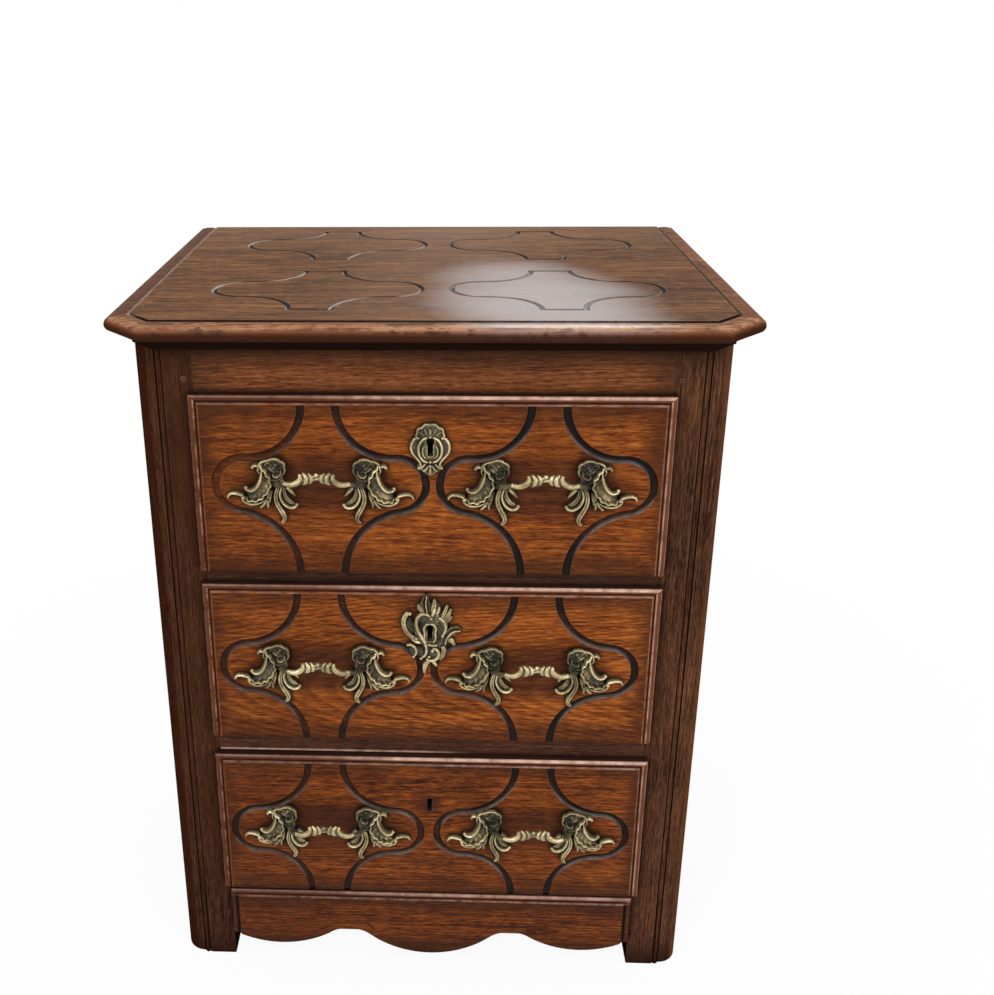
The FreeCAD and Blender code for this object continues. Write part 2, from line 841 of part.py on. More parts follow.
def drawer_front(name, size):
    lip_half = opening_half + lip_overlap_side
    lip_back = face_y - lip_gap
    bottom = size["bottom"]
    top = size["top"]
    lip = box(-lip_half, lip_half, lip_y, lip_back, bottom, top)
    corners = [
        V(-lip_half, lip_y, bottom), V(-lip_half, lip_y, top), V(lip_half, lip_y, top), V(lip_half, lip_y, bottom),
    ]
    lip = cut_all(lip, bead_cutters(corners))
    lip = cut_all(lip, drawer_lines(size))
    tongue_half = drawer_side_outer
    tongue_top = min(top, size["opening_top"] - drawer_top_gap)
    tongue = box(-tongue_half, tongue_half, lip_back, front_inner_y, bottom, tongue_top)
    board = fused([lip, tongue])
    rest, side_top = drawer_levels(size)
    holes = [bottom_panel(size, 0)]
    for tail in dovetails(rest, side_top):
        holes += both_sides(tail)
    holes.append(keyhole(bottom + size["key_height"], lip_y - overreach, front_inner_y + overreach))
    for place in stud_places(size):
        holes.append(Part.makeCylinder(
            stud_radius + stud_clearance, front_inner_y - lip_y + 2 * overreach,
            V(place.x, lip_y - overreach, place.z), V(0, 1, 0),
        ))
    for place in screw_places(size):
        holes.append(Part.makeCylinder(
            screw_radius, screw_length,
            V(place.x, front_inner_y + lock_plate_thickness, place.z), V(0, -1, 0),
        ))
    if name in escutcheons:
        for place in pin_places(name, size):
            holes.append(Part.makeCylinder(pin_radius, pin_length, V(place.x, lip_y, place.z), V(0, 1, 0)))
    return board.cut(holes)


# Pulls

def pull_mount():
    # Right-hand leaf mount about the pull's centre, on the field plane, growing towards the front.
    leaves = [
        (leaf((64, 28), (64, 5), (84, 3), (71, 9)), mount_leaf),
        (leaf((54, 20), (60, -10), (88, -8), (70, 0)), mount_leaf),
        (leaf((80, -10), (93, -7), (103, -11), (95, 0)), mount_plate),
        (leaf((52, 8), (53, -10), (65, -21), (64, -6)), mount_plate),
        (leaf((49, 16), (44, -8), (42, -26), (53, -8)), mount_leaf),
        (leaf((47, -19), (42, -28), (44, -39), (34, -29)), mount_plate),
        (leaf((45, 12), (41, -18), (25, -15), (37, -8)), mount_leaf),
        (leaf((48, 14), (37, -3), (27, -6), (39, 7)), mount_plate),
        (leaf((64, 30), (71, 32), (77, 28), (70, 25)), mount_plate),
    ]
    solids = [outline.extrude(V(0, -depth, 0)) for outline, depth in leaves]
    solids.append(shell_fan())
    boss = Part.makeCylinder(boss_radius, bar_stand + bar_radius, V(boss_x, 0, boss_z), V(0, -1, 0))
    reach = boss_radius + overreach
    waste = box(boss_x - 2 * reach, boss_flat, -2 * bar_stand, 0, boss_z - boss_radius, boss_z + reach)
    solids.append(boss.cut(waste))
    stud_length = front_inner_y - lip_y + stud_end
    solids.append(Part.makeCylinder(stud_radius, stud_length, V(boss_x, 0, boss_z), V(0, 1, 0)))
    return fused(solids).cut(waste)


def shell_fan():
    # A scalloped shell: arcs between evenly spaced rim points, closed across the hinge line. It slopes
    # from a low upper rim on the wood to a lower rim that stands out beside the bar.
    start = math.radians(shell_start_angle)
    step = math.radians(shell_sweep_angle) / shell_scallops
    rim = []
    for index in range(shell_scallops):
        angles = [start + (index + share) * step for share in (0, 0.5, 1)]
        radii = [shell_radius, shell_radius + shell_scallop_bulge, shell_radius]
        points = [V(shell_x + r * math.cos(a), 0, shell_z + r * math.sin(a)) for r, a in zip(radii, angles)]
        rim.append(points)
    edges = [arc(*points) for points in rim]
    edges.append(line(rim[-1][2], rim[0][0]))
    fan = face_of(edges).extrude(V(0, -shell_front_relief, 0))
    reach = shell_radius + 2 * shell_scallop_bulge
    slope = [
        V(shell_x - 2 * reach, -shell_front_relief, shell_z - reach),
        V(shell_x - 2 * reach, -shell_front_relief, shell_z + reach),
        V(shell_x - 2 * reach, -shell_back_relief, shell_z + reach),
    ]
    waste = Part.Face(Part.makePolygon(slope + slope[:1])).extrude(V(4 * reach, 0, 0))
    return fan.cut(waste)


def pull_bar():
    # The bar leaves each mount level, rises in an S of two equal arcs and runs straight across.
    angle = math.radians(bar_bend_angle)
    run = bar_bend_radius * math.sin(angle)
    rise = bar_bend_radius * (1 - math.cos(angle))
    half_run = bar_bend_radius * math.sin(angle / 2)
    half_rise = bar_bend_radius * (1 - math.cos(angle / 2))
    low = boss_z
    high = boss_z + 2 * rise

    def at(x, z):
        return V(x, -bar_stand, z)

    ends = []
    for side in (-1, 1):
        start = at(side * boss_flat, low)
        middle = at(side * (boss_flat - run), low + rise)
        finish = at(side * (boss_flat - 2 * run), high)
        first = arc(start, at(side * (boss_flat - half_run), low + half_rise), middle)
        second = arc(middle, at(side * (boss_flat - 2 * run + half_run), high - half_rise), finish)
        ends.append((first, second, finish))
    path = [
        ends[0][0],
        ends[0][1],
        line(ends[0][2], ends[1][2]),
        ends[1][1],
        ends[1][0],
    ]
    tube = groove_along(path, at(-boss_flat, low), V(1, 0, 0), bar_radius)
    knob = Part.makeSphere(bar_knob_radius, at(0, high), V(1, 0, 0))
    collar_x = boss_flat - 2 * run
    collars = []
    for x in (-collar_x, -collar_x / 2, collar_x / 2, collar_x):
        start = at(x - bar_collar_length / 2, high)
        collars.append(Part.makeCylinder(bar_collar_radius, bar_collar_length, start, V(1, 0, 0)))
    return fused([tube, knob] + collars)


def pull(size, side):
    mount = pull_mount()
    solids = both_sides(mount) + [pull_bar()]
    centre = size["pull_shifts"][side] + side * pull_x
    place = V(centre, lip_y, size["bottom"] + size["pull_height"])
    return Part.makeCompound([solid.translated(place) for solid in solids])


def pull_nuts(size):
    nuts = []
    for place in stud_places(size):
        half = nut_width / 2
        nut = box(
            place.x - half, place.x + half,
            front_inner_y, front_inner_y + nut_thickness,
            place.z - half, place.z + half,
        )
        bore = Part.makeCylinder(
            stud_radius + nut_clearance, nut_thickness,
            V(place.x, front_inner_y, place.z), V(0, 1, 0),
        )
        nuts.append(nut.cut(bore))
    return Part.makeCompound(nuts)


# Escutcheons

def oval_escutcheon():
    # Symmetric shell cartouche about the keyhole's eye.
    plates = [
        leaf((0, 20), (22.5, -6), (0, -32), (-22.5, -6)),
        leaf((-15, 4), (0, 21.5), (15, 4), (0, -10)),
        leaf((-10, -28), (0, -24), (10, -28), (0, -39.5)),
        leaf((-8, -24), (-15, -27), (-11, -31), (-6, -28)),
        leaf((8, -24), (15, -27), (11, -31), (6, -28)),
    ]
    return plates, [leaf((0, 4), (13, -11), (0, -24), (-13, -11))]


def rocaille_escutcheon():
    # Asymmetric scrolled plate: crown of leaves, side scrolls, a leaf to the right and a tail.
    plates = [
        leaf((-2, 24), (22, -6), (-2, -40), (-21, -6)),
        leaf((-12, 20), (-14, 34), (-3, 46), (6, 26)),
        leaf((-2, 20), (-2, 32), (5, 40), (10, 26)),
        leaf((12, 8), (10, 24), (23, 34), (26, 18)),
        leaf((-23, 22), (-36, 4), (-14, -14), (-22, 4)),
        leaf((14, -20), (19, 0), (37, 0), (27, -10)),
        leaf((16, -14), (24, -14), (29, -23), (19, -24)),
        leaf((-27, -21), (-8, -24), (-19, -38), (-16, -29)),
        leaf((-14, -34), (-8, -28), (-2, -38), (-8, -43)),
        leaf((2, -34), (-9, -48), (-7, -61), (2, -50)),
        leaf((4, -34), (6, -46), (9, -50), (12, -40)),
    ]
    return plates, [leaf((-2, 16), (14, -6), (-2, -24), (-15, -6))]


# Each plate's outline, and its pin places about the keyhole's eye in x and z
escutcheons = {
    "upper": (oval_escutcheon, [(0, 14), (0, -30)]),
    "middle": (rocaille_escutcheon, [(-2, 30), (-2, -34)]),
}


def pin_places(name, size):
    key_z = size["bottom"] + size["key_height"]
    return [V(x * drawing_unit, 0, key_z + z * drawing_unit) for x, z in escutcheons[name][1]]


def escutcheon(name, size):
    outline, pins = escutcheons[name]
    plates, rings = outline()
    key_z = size["bottom"] + size["key_height"]
    solids = [plate.extrude(V(0, -escutcheon_plate, 0)) for plate in plates]
    for ring in rings:
        inner = ring.makeOffset2D(-escutcheon_rim_width)
        rim = ring.cut(inner).extrude(V(0, -escutcheon_plate - escutcheon_rim, 0))
        solids.append(rim)
    plate = fused(solids).translated(V(0, lip_y, key_z))
    surface = lip_y - escutcheon_plate
    holes = [keyhole(key_z, surface - escutcheon_rim - overreach, lip_y + overreach)]
    pin_solids = []
    for place in pin_places(name, size):
        foot = V(place.x, lip_y + pin_length, place.z)
        shank = Part.makeCylinder(pin_radius, pin_length + escutcheon_plate, foot, V(0, -1, 0))
        head = Part.makeCylinder(pin_head_radius, escutcheon_rim, V(place.x, surface, place.z), V(0, -1, 0))
        clear = Part.makeCylinder(
            pin_head_radius, escutcheon_rim + overreach, V(place.x, surface, place.z), V(0, -1, 0),
        )
        holes += [shank, clear]
        pin_solids.append(fused([shank, head]))
    return Part.makeCompound([plate.cut(holes)] + pin_solids)


# Locks

def lock_top(size):
    return min(size["top"], size["opening_top"] - drawer_top_gap) - lock_top_gap


def bolt_box(size, grow, rise):
    top = lock_top(size)
    half = bolt_width / 2 + grow
    return box(
        -half, half,
        bolt_y - grow, bolt_y + bolt_thickness + grow,
        top - bolt_length - grow, top + rise,
    )


def lock_case(size):
    key_z = size["bottom"] + size["key_height"]
    low = key_z - lock_below_key
    top = lock_top(size)
    plate_half = lock_plate_width / 2
    case_half = lock_case_width / 2
    plate = box(-plate_half, plate_half, front_inner_y, front_inner_y + lock_plate_thickness, low, top)
    case = box(-case_half, case_half, front_inner_y, front_inner_y + lock_case_depth, low + lock_floor, top)
    body = fused([plate, case])
    back = front_inner_y + lock_case_depth - lock_plate_thickness
    key_room = keyhole(key_z, front_inner_y - overreach, back)
    holes = [bolt_box(size, bolt_clearance, overreach), key_room]
    for place in screw_places(size):
        holes.append(Part.makeCylinder(
            screw_radius, lock_plate_thickness, V(place.x, front_inner_y, place.z), V(0, 1, 0),
        ))
    body = body.cut(holes)
    pin = Part.makeCylinder(key_pin_radius, key_pin_length + lock_case_depth, V(0, back, key_z), V(0, -1, 0))
    return fused([body, pin])


def lock_bolt(size):
    return bolt_box(size, 0, 0)


def bolt_mortise(size):
    # Room above the bolt in the rail over the drawer.
    half = bolt_width / 2 + mortise_gap
    top = lock_top(size)
    return box(
        -half, half,
        bolt_y - mortise_gap, bolt_y + bolt_thickness + mortise_gap,
        top, top + bolt_throw + mortise_gap,
    )


def lock_screws(size):
    screws = []
    for place in screw_places(size):
        seat = front_inner_y + lock_plate_thickness
        shank = Part.makeCylinder(screw_radius, screw_length, V(place.x, seat, place.z), V(0, -1, 0))
        head = Part.makeCylinder(screw_head_radius, screw_head_height, V(place.x, seat, place.z), V(0, 1, 0))
        screws.append(fused([shank, head]))
    return Part.makeCompound(screws)


# Runners

def runner_pair(level):
    # Each runner reaches under the drawer side and butts the divider, the front post and the rear post.
    inner = opening_half - runner_bearing
    runner = box(inner, inner + runner_width, front_post_back, rear_post_front, level - runner_height, level)
    return Part.makeCompound(both_sides(runner))


def guide_pairs(levels):
    guides = []
    for level in levels:
        guide = box(
            opening_half, opening_half + guide_width,
            front_post_back, rear_post_front, level, level + guide_height,
        )
        guides += both_sides(guide)
    return Part.makeCompound(guides)


def kicker_pair(level):
    inner = opening_half - runner_bearing
    kicker = box(inner, inner + runner_width, front_post_back, rear_post_front, level, level + kicker_height)
    return Part.makeCompound(both_sides(kicker))


def build_frame():
    frieze, frieze_tenon = rail_across(
        opening_half, face_y, face_y + frieze_thickness, upper_opening_top, frame_top,
    )
    upper_divider, upper_tenon = rail_across(
        opening_half, face_y, front_post_back,
        middle_opening_top, middle_opening_top + divider_height,
    )
    lower_divider, lower_tenon = rail_across(
        opening_half, face_y, front_post_back,
        lower_opening_top, lower_opening_top + divider_height,
    )
    apron, apron_tenon = apron_board()
    side_top, side_top_tenons = side_rail(frame_top - side_top_rail_height, frame_top)
    side_bottom, side_bottom_tenons = side_rail(
        side_bottom_rail_floor, side_bottom_rail_floor + side_bottom_rail_height,
    )
    back_top, back_top_tenon = rail_across(
        rear_post_inner, back_rail_front, back_rail_back, frame_top - back_rail_height, frame_top,
    )
    back_bottom, back_bottom_tenon = rail_across(
        rear_post_inner, back_rail_front, back_rail_back,
        back_rail_floor, back_rail_floor + back_rail_height,
    )
    pegs = frame_pegs()
    side_tenons = side_top_tenons + side_bottom_tenons
    front_tools = [frieze_tenon, upper_tenon, lower_tenon, apron_tenon, panel_slot()] + side_tenons + pegs
    front_post = front_post_blank().cut(front_tools)
    rear_blank = box(rear_post_inner, body_half, rear_post_front, back_y, 0, frame_top)
    rear_tools = [back_top_tenon, back_bottom_tenon, panel_slot(), back_slot()] + side_tenons + pegs
    rear_post = rear_blank.cut(rear_tools)
    side_tools = [panel_slot()] + pegs
    side_top = side_top.cut(side_tools)
    side_bottom = side_bottom.cut(side_tools)
    frieze_tools = [bolt_mortise(drawers["upper"])] + both_sides(pegs[0])

    save("top_board", top_board())
    for name, shape in (("right", front_post), ("left", mirrored(front_post))):
        save("front_post_" + name, shape)
    for name, shape in (("right", rear_post), ("left", mirrored(rear_post))):
        save("rear_post_" + name, shape)
    save("frieze_rail", frieze.cut(frieze_tools))
    save("upper_divider", upper_divider.cut(bolt_mortise(drawers["middle"])))
    save("lower_divider", lower_divider.cut(bolt_mortise(drawers["lower"])))
    save("apron", apron)
    panel = side_panel()
    sides = {"side_panel": panel, "side_top_rail": side_top, "side_bottom_rail": side_bottom}
    for name, shape in sides.items():
        save(name + "_right", shape)
        save(name + "_left", mirrored(shape))
    save("back_top_rail", back_top.cut(back_slot()))
    save("back_bottom_rail", back_bottom.cut(back_slot()))
    save("back_boards", back_boards())
    peg_solids = []
    for peg in pegs:
        peg_solids += both_sides(peg)
    save("frame_pegs", Part.makeCompound(peg_solids))
    levels = {name: size["bottom"] - drawer_bottom_gap for name, size in drawers.items()}
    for name, level in levels.items():
        save(name + "_runners", runner_pair(level))
    save("drawer_guides", guide_pairs(levels.values()))
    save("kickers", kicker_pair(upper_opening_top))


def build_drawer(name, size):
    rest, side_top = drawer_levels(size)
    side = drawer_sides(size)
    save(name + "_drawer_front", drawer_front(name, size))
    save(name + "_drawer_side_right", side)
    save(name + "_drawer_side_left", mirrored(side))
    save(name + "_drawer_back", drawer_back(size, side_top, bottom_gap))
    save(name + "_drawer_bottom", bottom_panel(size, bottom_gap))
    save(name + "_pull_right", pull(size, 1))
    save(name + "_pull_left", pull(size, -1))
    save(name + "_pull_nuts", pull_nuts(size))
    save(name + "_lock_case", lock_case(size))
    save(name + "_lock_bolt", lock_bolt(size))
    save(name + "_lock_screws", lock_screws(size))
    if name in escutcheons:
        save(name + "_escutcheon", escutcheon(name, size))


os.makedirs("parts", exist_ok=True)
build_frame()
for drawer_name, drawer_size in drawers.items():
    build_drawer(drawer_name, drawer_size)
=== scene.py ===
import math
import bmesh
import bpy
import numpy as np
from mathutils import Matrix, Vector

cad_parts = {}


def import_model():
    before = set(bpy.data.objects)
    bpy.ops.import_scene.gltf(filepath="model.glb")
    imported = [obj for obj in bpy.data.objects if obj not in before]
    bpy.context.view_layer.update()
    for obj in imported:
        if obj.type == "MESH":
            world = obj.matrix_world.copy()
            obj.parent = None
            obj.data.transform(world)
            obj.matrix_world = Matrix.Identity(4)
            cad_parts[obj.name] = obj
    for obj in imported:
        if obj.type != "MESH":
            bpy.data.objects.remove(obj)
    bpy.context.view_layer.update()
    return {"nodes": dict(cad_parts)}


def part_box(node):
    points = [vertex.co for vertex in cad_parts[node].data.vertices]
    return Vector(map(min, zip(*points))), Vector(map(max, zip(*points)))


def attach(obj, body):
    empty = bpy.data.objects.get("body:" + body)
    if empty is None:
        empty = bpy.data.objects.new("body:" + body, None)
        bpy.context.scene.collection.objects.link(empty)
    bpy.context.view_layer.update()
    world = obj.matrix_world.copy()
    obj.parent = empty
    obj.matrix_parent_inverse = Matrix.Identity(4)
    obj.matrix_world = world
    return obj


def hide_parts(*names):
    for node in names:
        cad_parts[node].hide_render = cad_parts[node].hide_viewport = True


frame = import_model()
nodes = frame["nodes"]
mm = 0.001
parts = ("upper", "middle", "lower")
hands = ("right", "left")
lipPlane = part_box("upper_drawer_front")[0].y  # front of the drawer fields
print("frame loaded,", len(nodes), "nodes")


# Shader maths: a Signal is one socket, and sums of Signals add Math nodes
def bothWays(operation):  # an operator with the Signal before it, and with the Signal after it
    def before(self, other):
        return self.math(operation, self, other)

    def after(self, other):
        return self.math(operation, other, self)
    return before, after


class Signal:
    def __init__(self, tree, socket=None):
        self.tree = tree
        self.socket = socket

    def node(self, kind, sockets=None, out=0, **settings):
        made = self.tree.nodes.new(kind)
        for key, value in settings.items():
            setattr(made, key, value)
        fill(made, sockets or {})
        return Signal(self.tree, made.outputs[out])

    def math(self, operation, *values):
        return self.node("ShaderNodeMath", dict(enumerate(values)), operation=operation)

    def __abs__(self):
        return self.math("ABSOLUTE", self)

    __add__, __radd__ = bothWays("ADD")
    __sub__, __rsub__ = bothWays("SUBTRACT")
    __mul__, __rmul__ = bothWays("MULTIPLY")
    __truediv__, __rtruediv__ = bothWays("DIVIDE")
    __pow__, __rpow__ = bothWays("POWER")

    def step(self, low, high):  # smooth ramp from 0 at low to 1 at high
        ramp = {0: self, 1: low, 2: high, 3: 0.0, 4: 1.0}
        return self.node("ShaderNodeMapRange", ramp, interpolation_type="SMOOTHSTEP", clamp=True)

    def tint(self, first, second):  # first colour where 0, second where 1
        mixed = {0: self, 6: paint(first), 7: paint(second)}
        return self.node("ShaderNodeMix", mixed, 2, data_type="RGBA", clamp_factor=True)

    def ramp(self, places, colours):  # colours at their places from 0 to 1, blended between
        made = self.node("ShaderNodeValToRGB", {0: self})
        elements = made.socket.node.color_ramp.elements
        for place in places[len(elements):]:
            elements.new(place)
        for element, place, colour in zip(elements, places, colours):
            element.position = place
            element.color = paint(colour)
        return made


def fill(node, sockets):  # links signals and sets plain values on a node's sockets
    for key, value in sockets.items():
        if isinstance(value, Signal):
            value.tree.links.new(value.socket, node.inputs[key])
        else:
            node.inputs[key].default_value = value


def paint(colour):  # a written sRGB colour as linear light
    if isinstance(colour, Signal):
        return colour
    shares = np.array(colour, float) / 255
    linear = np.where(shares <= 0.04045, shares / 12.92, ((shares + 0.055) / 1.055) ** 2.4)
    return (*linear.tolist(), 1.0)


# Surfaces on grids. A shape is (points, faces, crest): points are x right, z up and out from the wood
# in millimetres, and crest is 1 on rubbed high places and 0 in hollows. It is also lowered as painted shade
# on pieces under the shell.
def through(points, count):
    # Catmull-Rom curve: every span is the cubic that leaves and meets its ends parallel to their neighbours
    points = np.array(points, float)
    padded = np.vstack([2 * points[0] - points[1], points, 2 * points[-1] - points[-2]])
    place = np.linspace(0, len(points) - 1, count)
    span = np.minimum(place.astype(int), len(points) - 2)
    u = (place - span)[:, None]
    a, b, c, d = (padded[span + k] for k in range(4))
    return 0.5 * (2 * b + (c - a) * u + (2 * a - 5 * b + 4 * c - d) * u**2 + (3 * b - a - 3 * c + d) * u**3)


def headings(line):  # unit steps along a line of points
    slope = np.gradient(line, axis=0)
    return slope / np.linalg.norm(slope, axis=1)[:, None]


def circle(around):
    return np.linspace(0, 2 * np.pi, around, endpoint=False)


def along(values, count):
    return np.interp(np.linspace(0, 1, count), np.linspace(0, 1, len(values)), values)


def ringFaces(rows, ring):
    # quads between neighbouring rings of a closed tube, and one many-sided cap at each end
    row, col = np.meshgrid(np.arange(rows - 1), np.arange(ring), indexing="ij")
    after = (col + 1) % ring
    here, above = row * ring, (row + 1) * ring
    quads = np.stack([here + col, here + after, above + after, above + col], -1)
    first = np.arange(ring)[::-1]
    last = np.arange(ring) + (rows - 1) * ring
    return quads.reshape(-1, 4).tolist() + [first.tolist(), last.tolist()]


def arch(v):  # half circle over -1 to 1
    return np.sqrt(np.clip(1 - v**2, 0, 1))


# Heights across a strand, from one edge at -1 to the other at 1
forms = {
    "round": lambda v: 0.25 + 0.75 * arch(v),
    "ridge": lambda v: 0.2 + 0.8 * arch(v) * (0.72 + 0.28 * np.abs(np.sin(2.4 * v))),
    "ribbed": lambda v: 0.3 + 0.55 * arch(v) + 0.15 * np.cos(9.4 * v),
    "crease": lambda v: 0.25 + 0.75 * arch(v) * (0.55 + 0.45 * np.abs(v)**0.7),
    "hollow": lambda v: 0.4 + 0.6 * np.abs(v)**1.7 - 0.35 * np.clip(np.abs(v) - 0.86, 0, 1) / 0.14,
}


def curl(path, width, lift, **more):  # one stroke of relief, as strand reads it
    return dict(more, path=path, width=width, lift=lift)


def strand(stroke):
    # Relief strand: v runs across the path and t along it. A point lies v half-widths beside the path, and
    # its height is lift(t) times form(v). Lobes scallop the edge, a wave sways the path sideways, ribs notch
    # it, the last 6 percent of each end are blunt, and two foot points close it on the wood.
    steps = stroke.get("steps", 36)
    across = stroke.get("across", 13)
    path = through(stroke["path"], steps)
    slope = headings(path)
    side = np.stack([slope[:, 1], -slope[:, 0]], 1)
    t = np.linspace(0, 1, steps)
    waves, sway = stroke.get("wave", (0, 0))
    path = path + side * (sway * np.sin(2 * np.pi * waves * t))[:, None]
    v = np.linspace(-1, 1, across)
    lobes, lobeDepth = stroke.get("lobes", (0, 0))
    edge = 1 + lobeDepth * (np.abs(np.cos(np.pi * lobes * t)) - 0.5)
    blunt = np.sqrt(np.clip(1 - (2 * np.clip(np.abs(t - 0.5) - 0.44, 0, 0.06) / 0.12)**2 * 0.8, 0, 1))
    width = along(stroke["width"], steps) * edge * blunt
    lift = along(stroke["lift"], steps) * (0.75 + 0.25 * blunt)
    profile = forms[stroke.get("form", "round")](v)
    ribs, ribDepth = stroke.get("ribs", (0, 0))
    gadroon = 1 + ribDepth * np.cos(2 * np.pi * ribs * t)[:, None] * np.abs(v)[None, :]
    plan = path[:, None] + side[:, None] * (width[:, None] * v[None, :])[..., None]
    height = lift[:, None] * profile[None, :] * gadroon
    top = np.concatenate([plan, height[..., None]], -1)
    foot = np.concatenate([plan[:, [-1, 0]], np.zeros((steps, 2, 1))], -1)
    points = np.concatenate([top, foot], 1)
    bright = np.concatenate([np.broadcast_to(profile, (steps, across)), np.full((steps, 2), 0.1)], 1)
    rubbed = stroke.get("rubbed", 1.0)
    return points.reshape(-1, 3), ringFaces(steps, across + 2), (bright * rubbed).ravel()


def tube(path, radius, flute=(0, 0, 0), steps=60, around=20, rubbed=1.0):
    # Round bar: a circle carried square to the path, its radius read along it and waved into flutes.
    # The path's points are x, z and out.
    line = through(path, steps)
    slope = headings(line)
    up = np.cross(slope, np.array([0, 0, 1.0]) + 0.001)
    up /= np.linalg.norm(up, axis=1)[:, None]
    over = np.cross(slope, up)
    angle = circle(around)
    count, depth, twist = flute
    t = np.linspace(0, 1, steps)
    wave = 1 + depth * np.cos(count * angle[None, :] + twist * t[:, None])
    size = along(radius, steps)[:, None] * wave
    ring = np.cos(angle)[None, :, None] * up[:, None] + np.sin(angle)[None, :, None] * over[:, None]
    points = line[:, None] + ring * size[..., None]
    crest = np.clip(0.55 + 0.45 * (wave - 1) / max(depth, 0.01), 0, 1)
    return points.reshape(-1, 3), ringFaces(steps, around), (crest * rubbed).ravel()


def pearl(x, z, out, radius, rubbed=1.0, rings=9, around=14):
    # Ball: circles of latitude from pole to pole
    lat = np.linspace(-0.48 * np.pi, 0.48 * np.pi, rings)
    lon = circle(around)
    flat = np.cos(lat)[:, None, None] * np.stack([np.cos(lon), np.sin(lon)], -1)
    rise = np.broadcast_to(np.sin(lat)[:, None], (rings, around))
    sideways, upward = radius * flat[..., 0], radius * flat[..., 1]
    points = np.stack([x + sideways, z + upward, out + radius * rise], -1)
    crest = (0.2 + 0.8 * np.clip(rise, 0, 1)) * rubbed
    return points.reshape(-1, 3), ringFaces(rings, around), crest.ravel()


def shellCup(shell):
    # Scallop cup: rays run from a hub near its foot to a rim that waves in and out in uneven lobes. The
    # height sinks from the rim to the hub, lumps roughen the bottom, and the outer wall drops to the wood.
    around, turns = 132, shell["scallops"]
    angle = circle(around)
    level = np.array([0.06, 0.2, 0.34, 0.48, 0.6, 0.7, 0.79, 0.86, 0.92, 0.97, 1.02, 1.05, 1.03, 0.9])
    dish = np.array([0.22, 0.22, 0.25, 0.32, 0.42, 0.54, 0.68, 0.82, 0.95, 1.03, 1.0, 0.84, 0.4, 0.0])
    glow = np.array([0.4, 0.35, 0.3, 0.25, 0.2, 0.2, 0.25, 0.4, 0.75, 1.0, 1.0, 0.6, 0.2, 0.1])
    lobe = np.abs(np.cos(angle * turns / 2 + shell["turn"] + 0.55 * np.sin(2 * angle + 0.6)))
    pocket = np.sin(np.pi * np.clip(level / 0.94, 0, 1))[:, None] * lobe[None, :]
    reach = shell["radius"] * (0.89 + 0.12 * np.sqrt(lobe) + 0.05 * np.sin(3 * angle + 0.8))
    upper = 0.5 + 0.5 * np.sin(angle)
    rimX = shell["aspect"] * reach * np.cos(angle)
    rimZ = reach * np.sin(angle)
    hubX, hubZ = shell["hub"]
    x = shell["at"][0] + hubX + level[:, None] * (rimX - hubX)
    z = shell["at"][1] + hubZ + level[:, None] * (rimZ - hubZ)
    lumps = np.sin(0.95 * x + 1.3) * np.sin(1.15 * z + 0.4) * np.clip(1.3 - 1.4 * level, 0, 1)[:, None]
    out = (dish[:, None] - 0.12 * pocket) * (shell["rim"] + shell["lean"] * (1 - upper)) + 1.3 * lumps
    points = np.stack([x, z, out], -1)
    rubbed = 0.66 + 0.34 * np.cos(angle - 0.9)  # painted light and shade: brighter on the upper side away from the bar
    crest = np.clip(glow[:, None] * rubbed[None, :] + 0.5 * lumps, 0, 1)
    return points.reshape(-1, 3), ringFaces(len(level), around), crest.ravel()


def mirrored(shape):  # the same shape with left and right changed over
    points, faces, crest = shape
    return points * [-1, 1, 1], [face[::-1] for face in faces], crest


def placed(name, data):  # a new object in the scene
    made = bpy.data.objects.new(name, data)
    bpy.context.scene.collection.objects.link(made)
    return made


def moulded(name, shapes, place, body, replaced, material):
    # joins the shapes, sets them on the wood at place and hands the piece to its body
    starts = np.cumsum([0] + [len(points) for points, faces, crest in shapes])
    flat = np.concatenate([points for points, faces, crest in shapes]) * mm
    spots = np.stack([place[0] + flat[:, 0], place[1] - flat[:, 2], place[2] + flat[:, 1]], 1)
    faces = [[i + start for i in face] for (p, fs, c), start in zip(shapes, starts) for face in fs]
    mesh = bpy.data.meshes.new(name)
    mesh.from_pydata(spots.tolist(), [], faces)
    crest = mesh.attributes.new("crest", "FLOAT", "POINT")
    crest.data.foreach_set("value", np.concatenate([c for p, f, c in shapes]).astype(np.float32))
    mesh.polygons.foreach_set("use_smooth", np.ones(len(faces), bool))
    piece = placed(name, mesh)
    turnOut(mesh)
    mesh.materials.append(material)
    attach(piece, body)
    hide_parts(replaced)


def turnOut(mesh):  # every closed shell faces outwards
    work = bmesh.new()
    work.from_mesh(mesh)
    bmesh.ops.recalc_face_normals(work, faces=work.faces)
    work.to_mesh(mesh)
    work.free()
    mesh.set_sharp_from_angle(angle=math.radians(48))


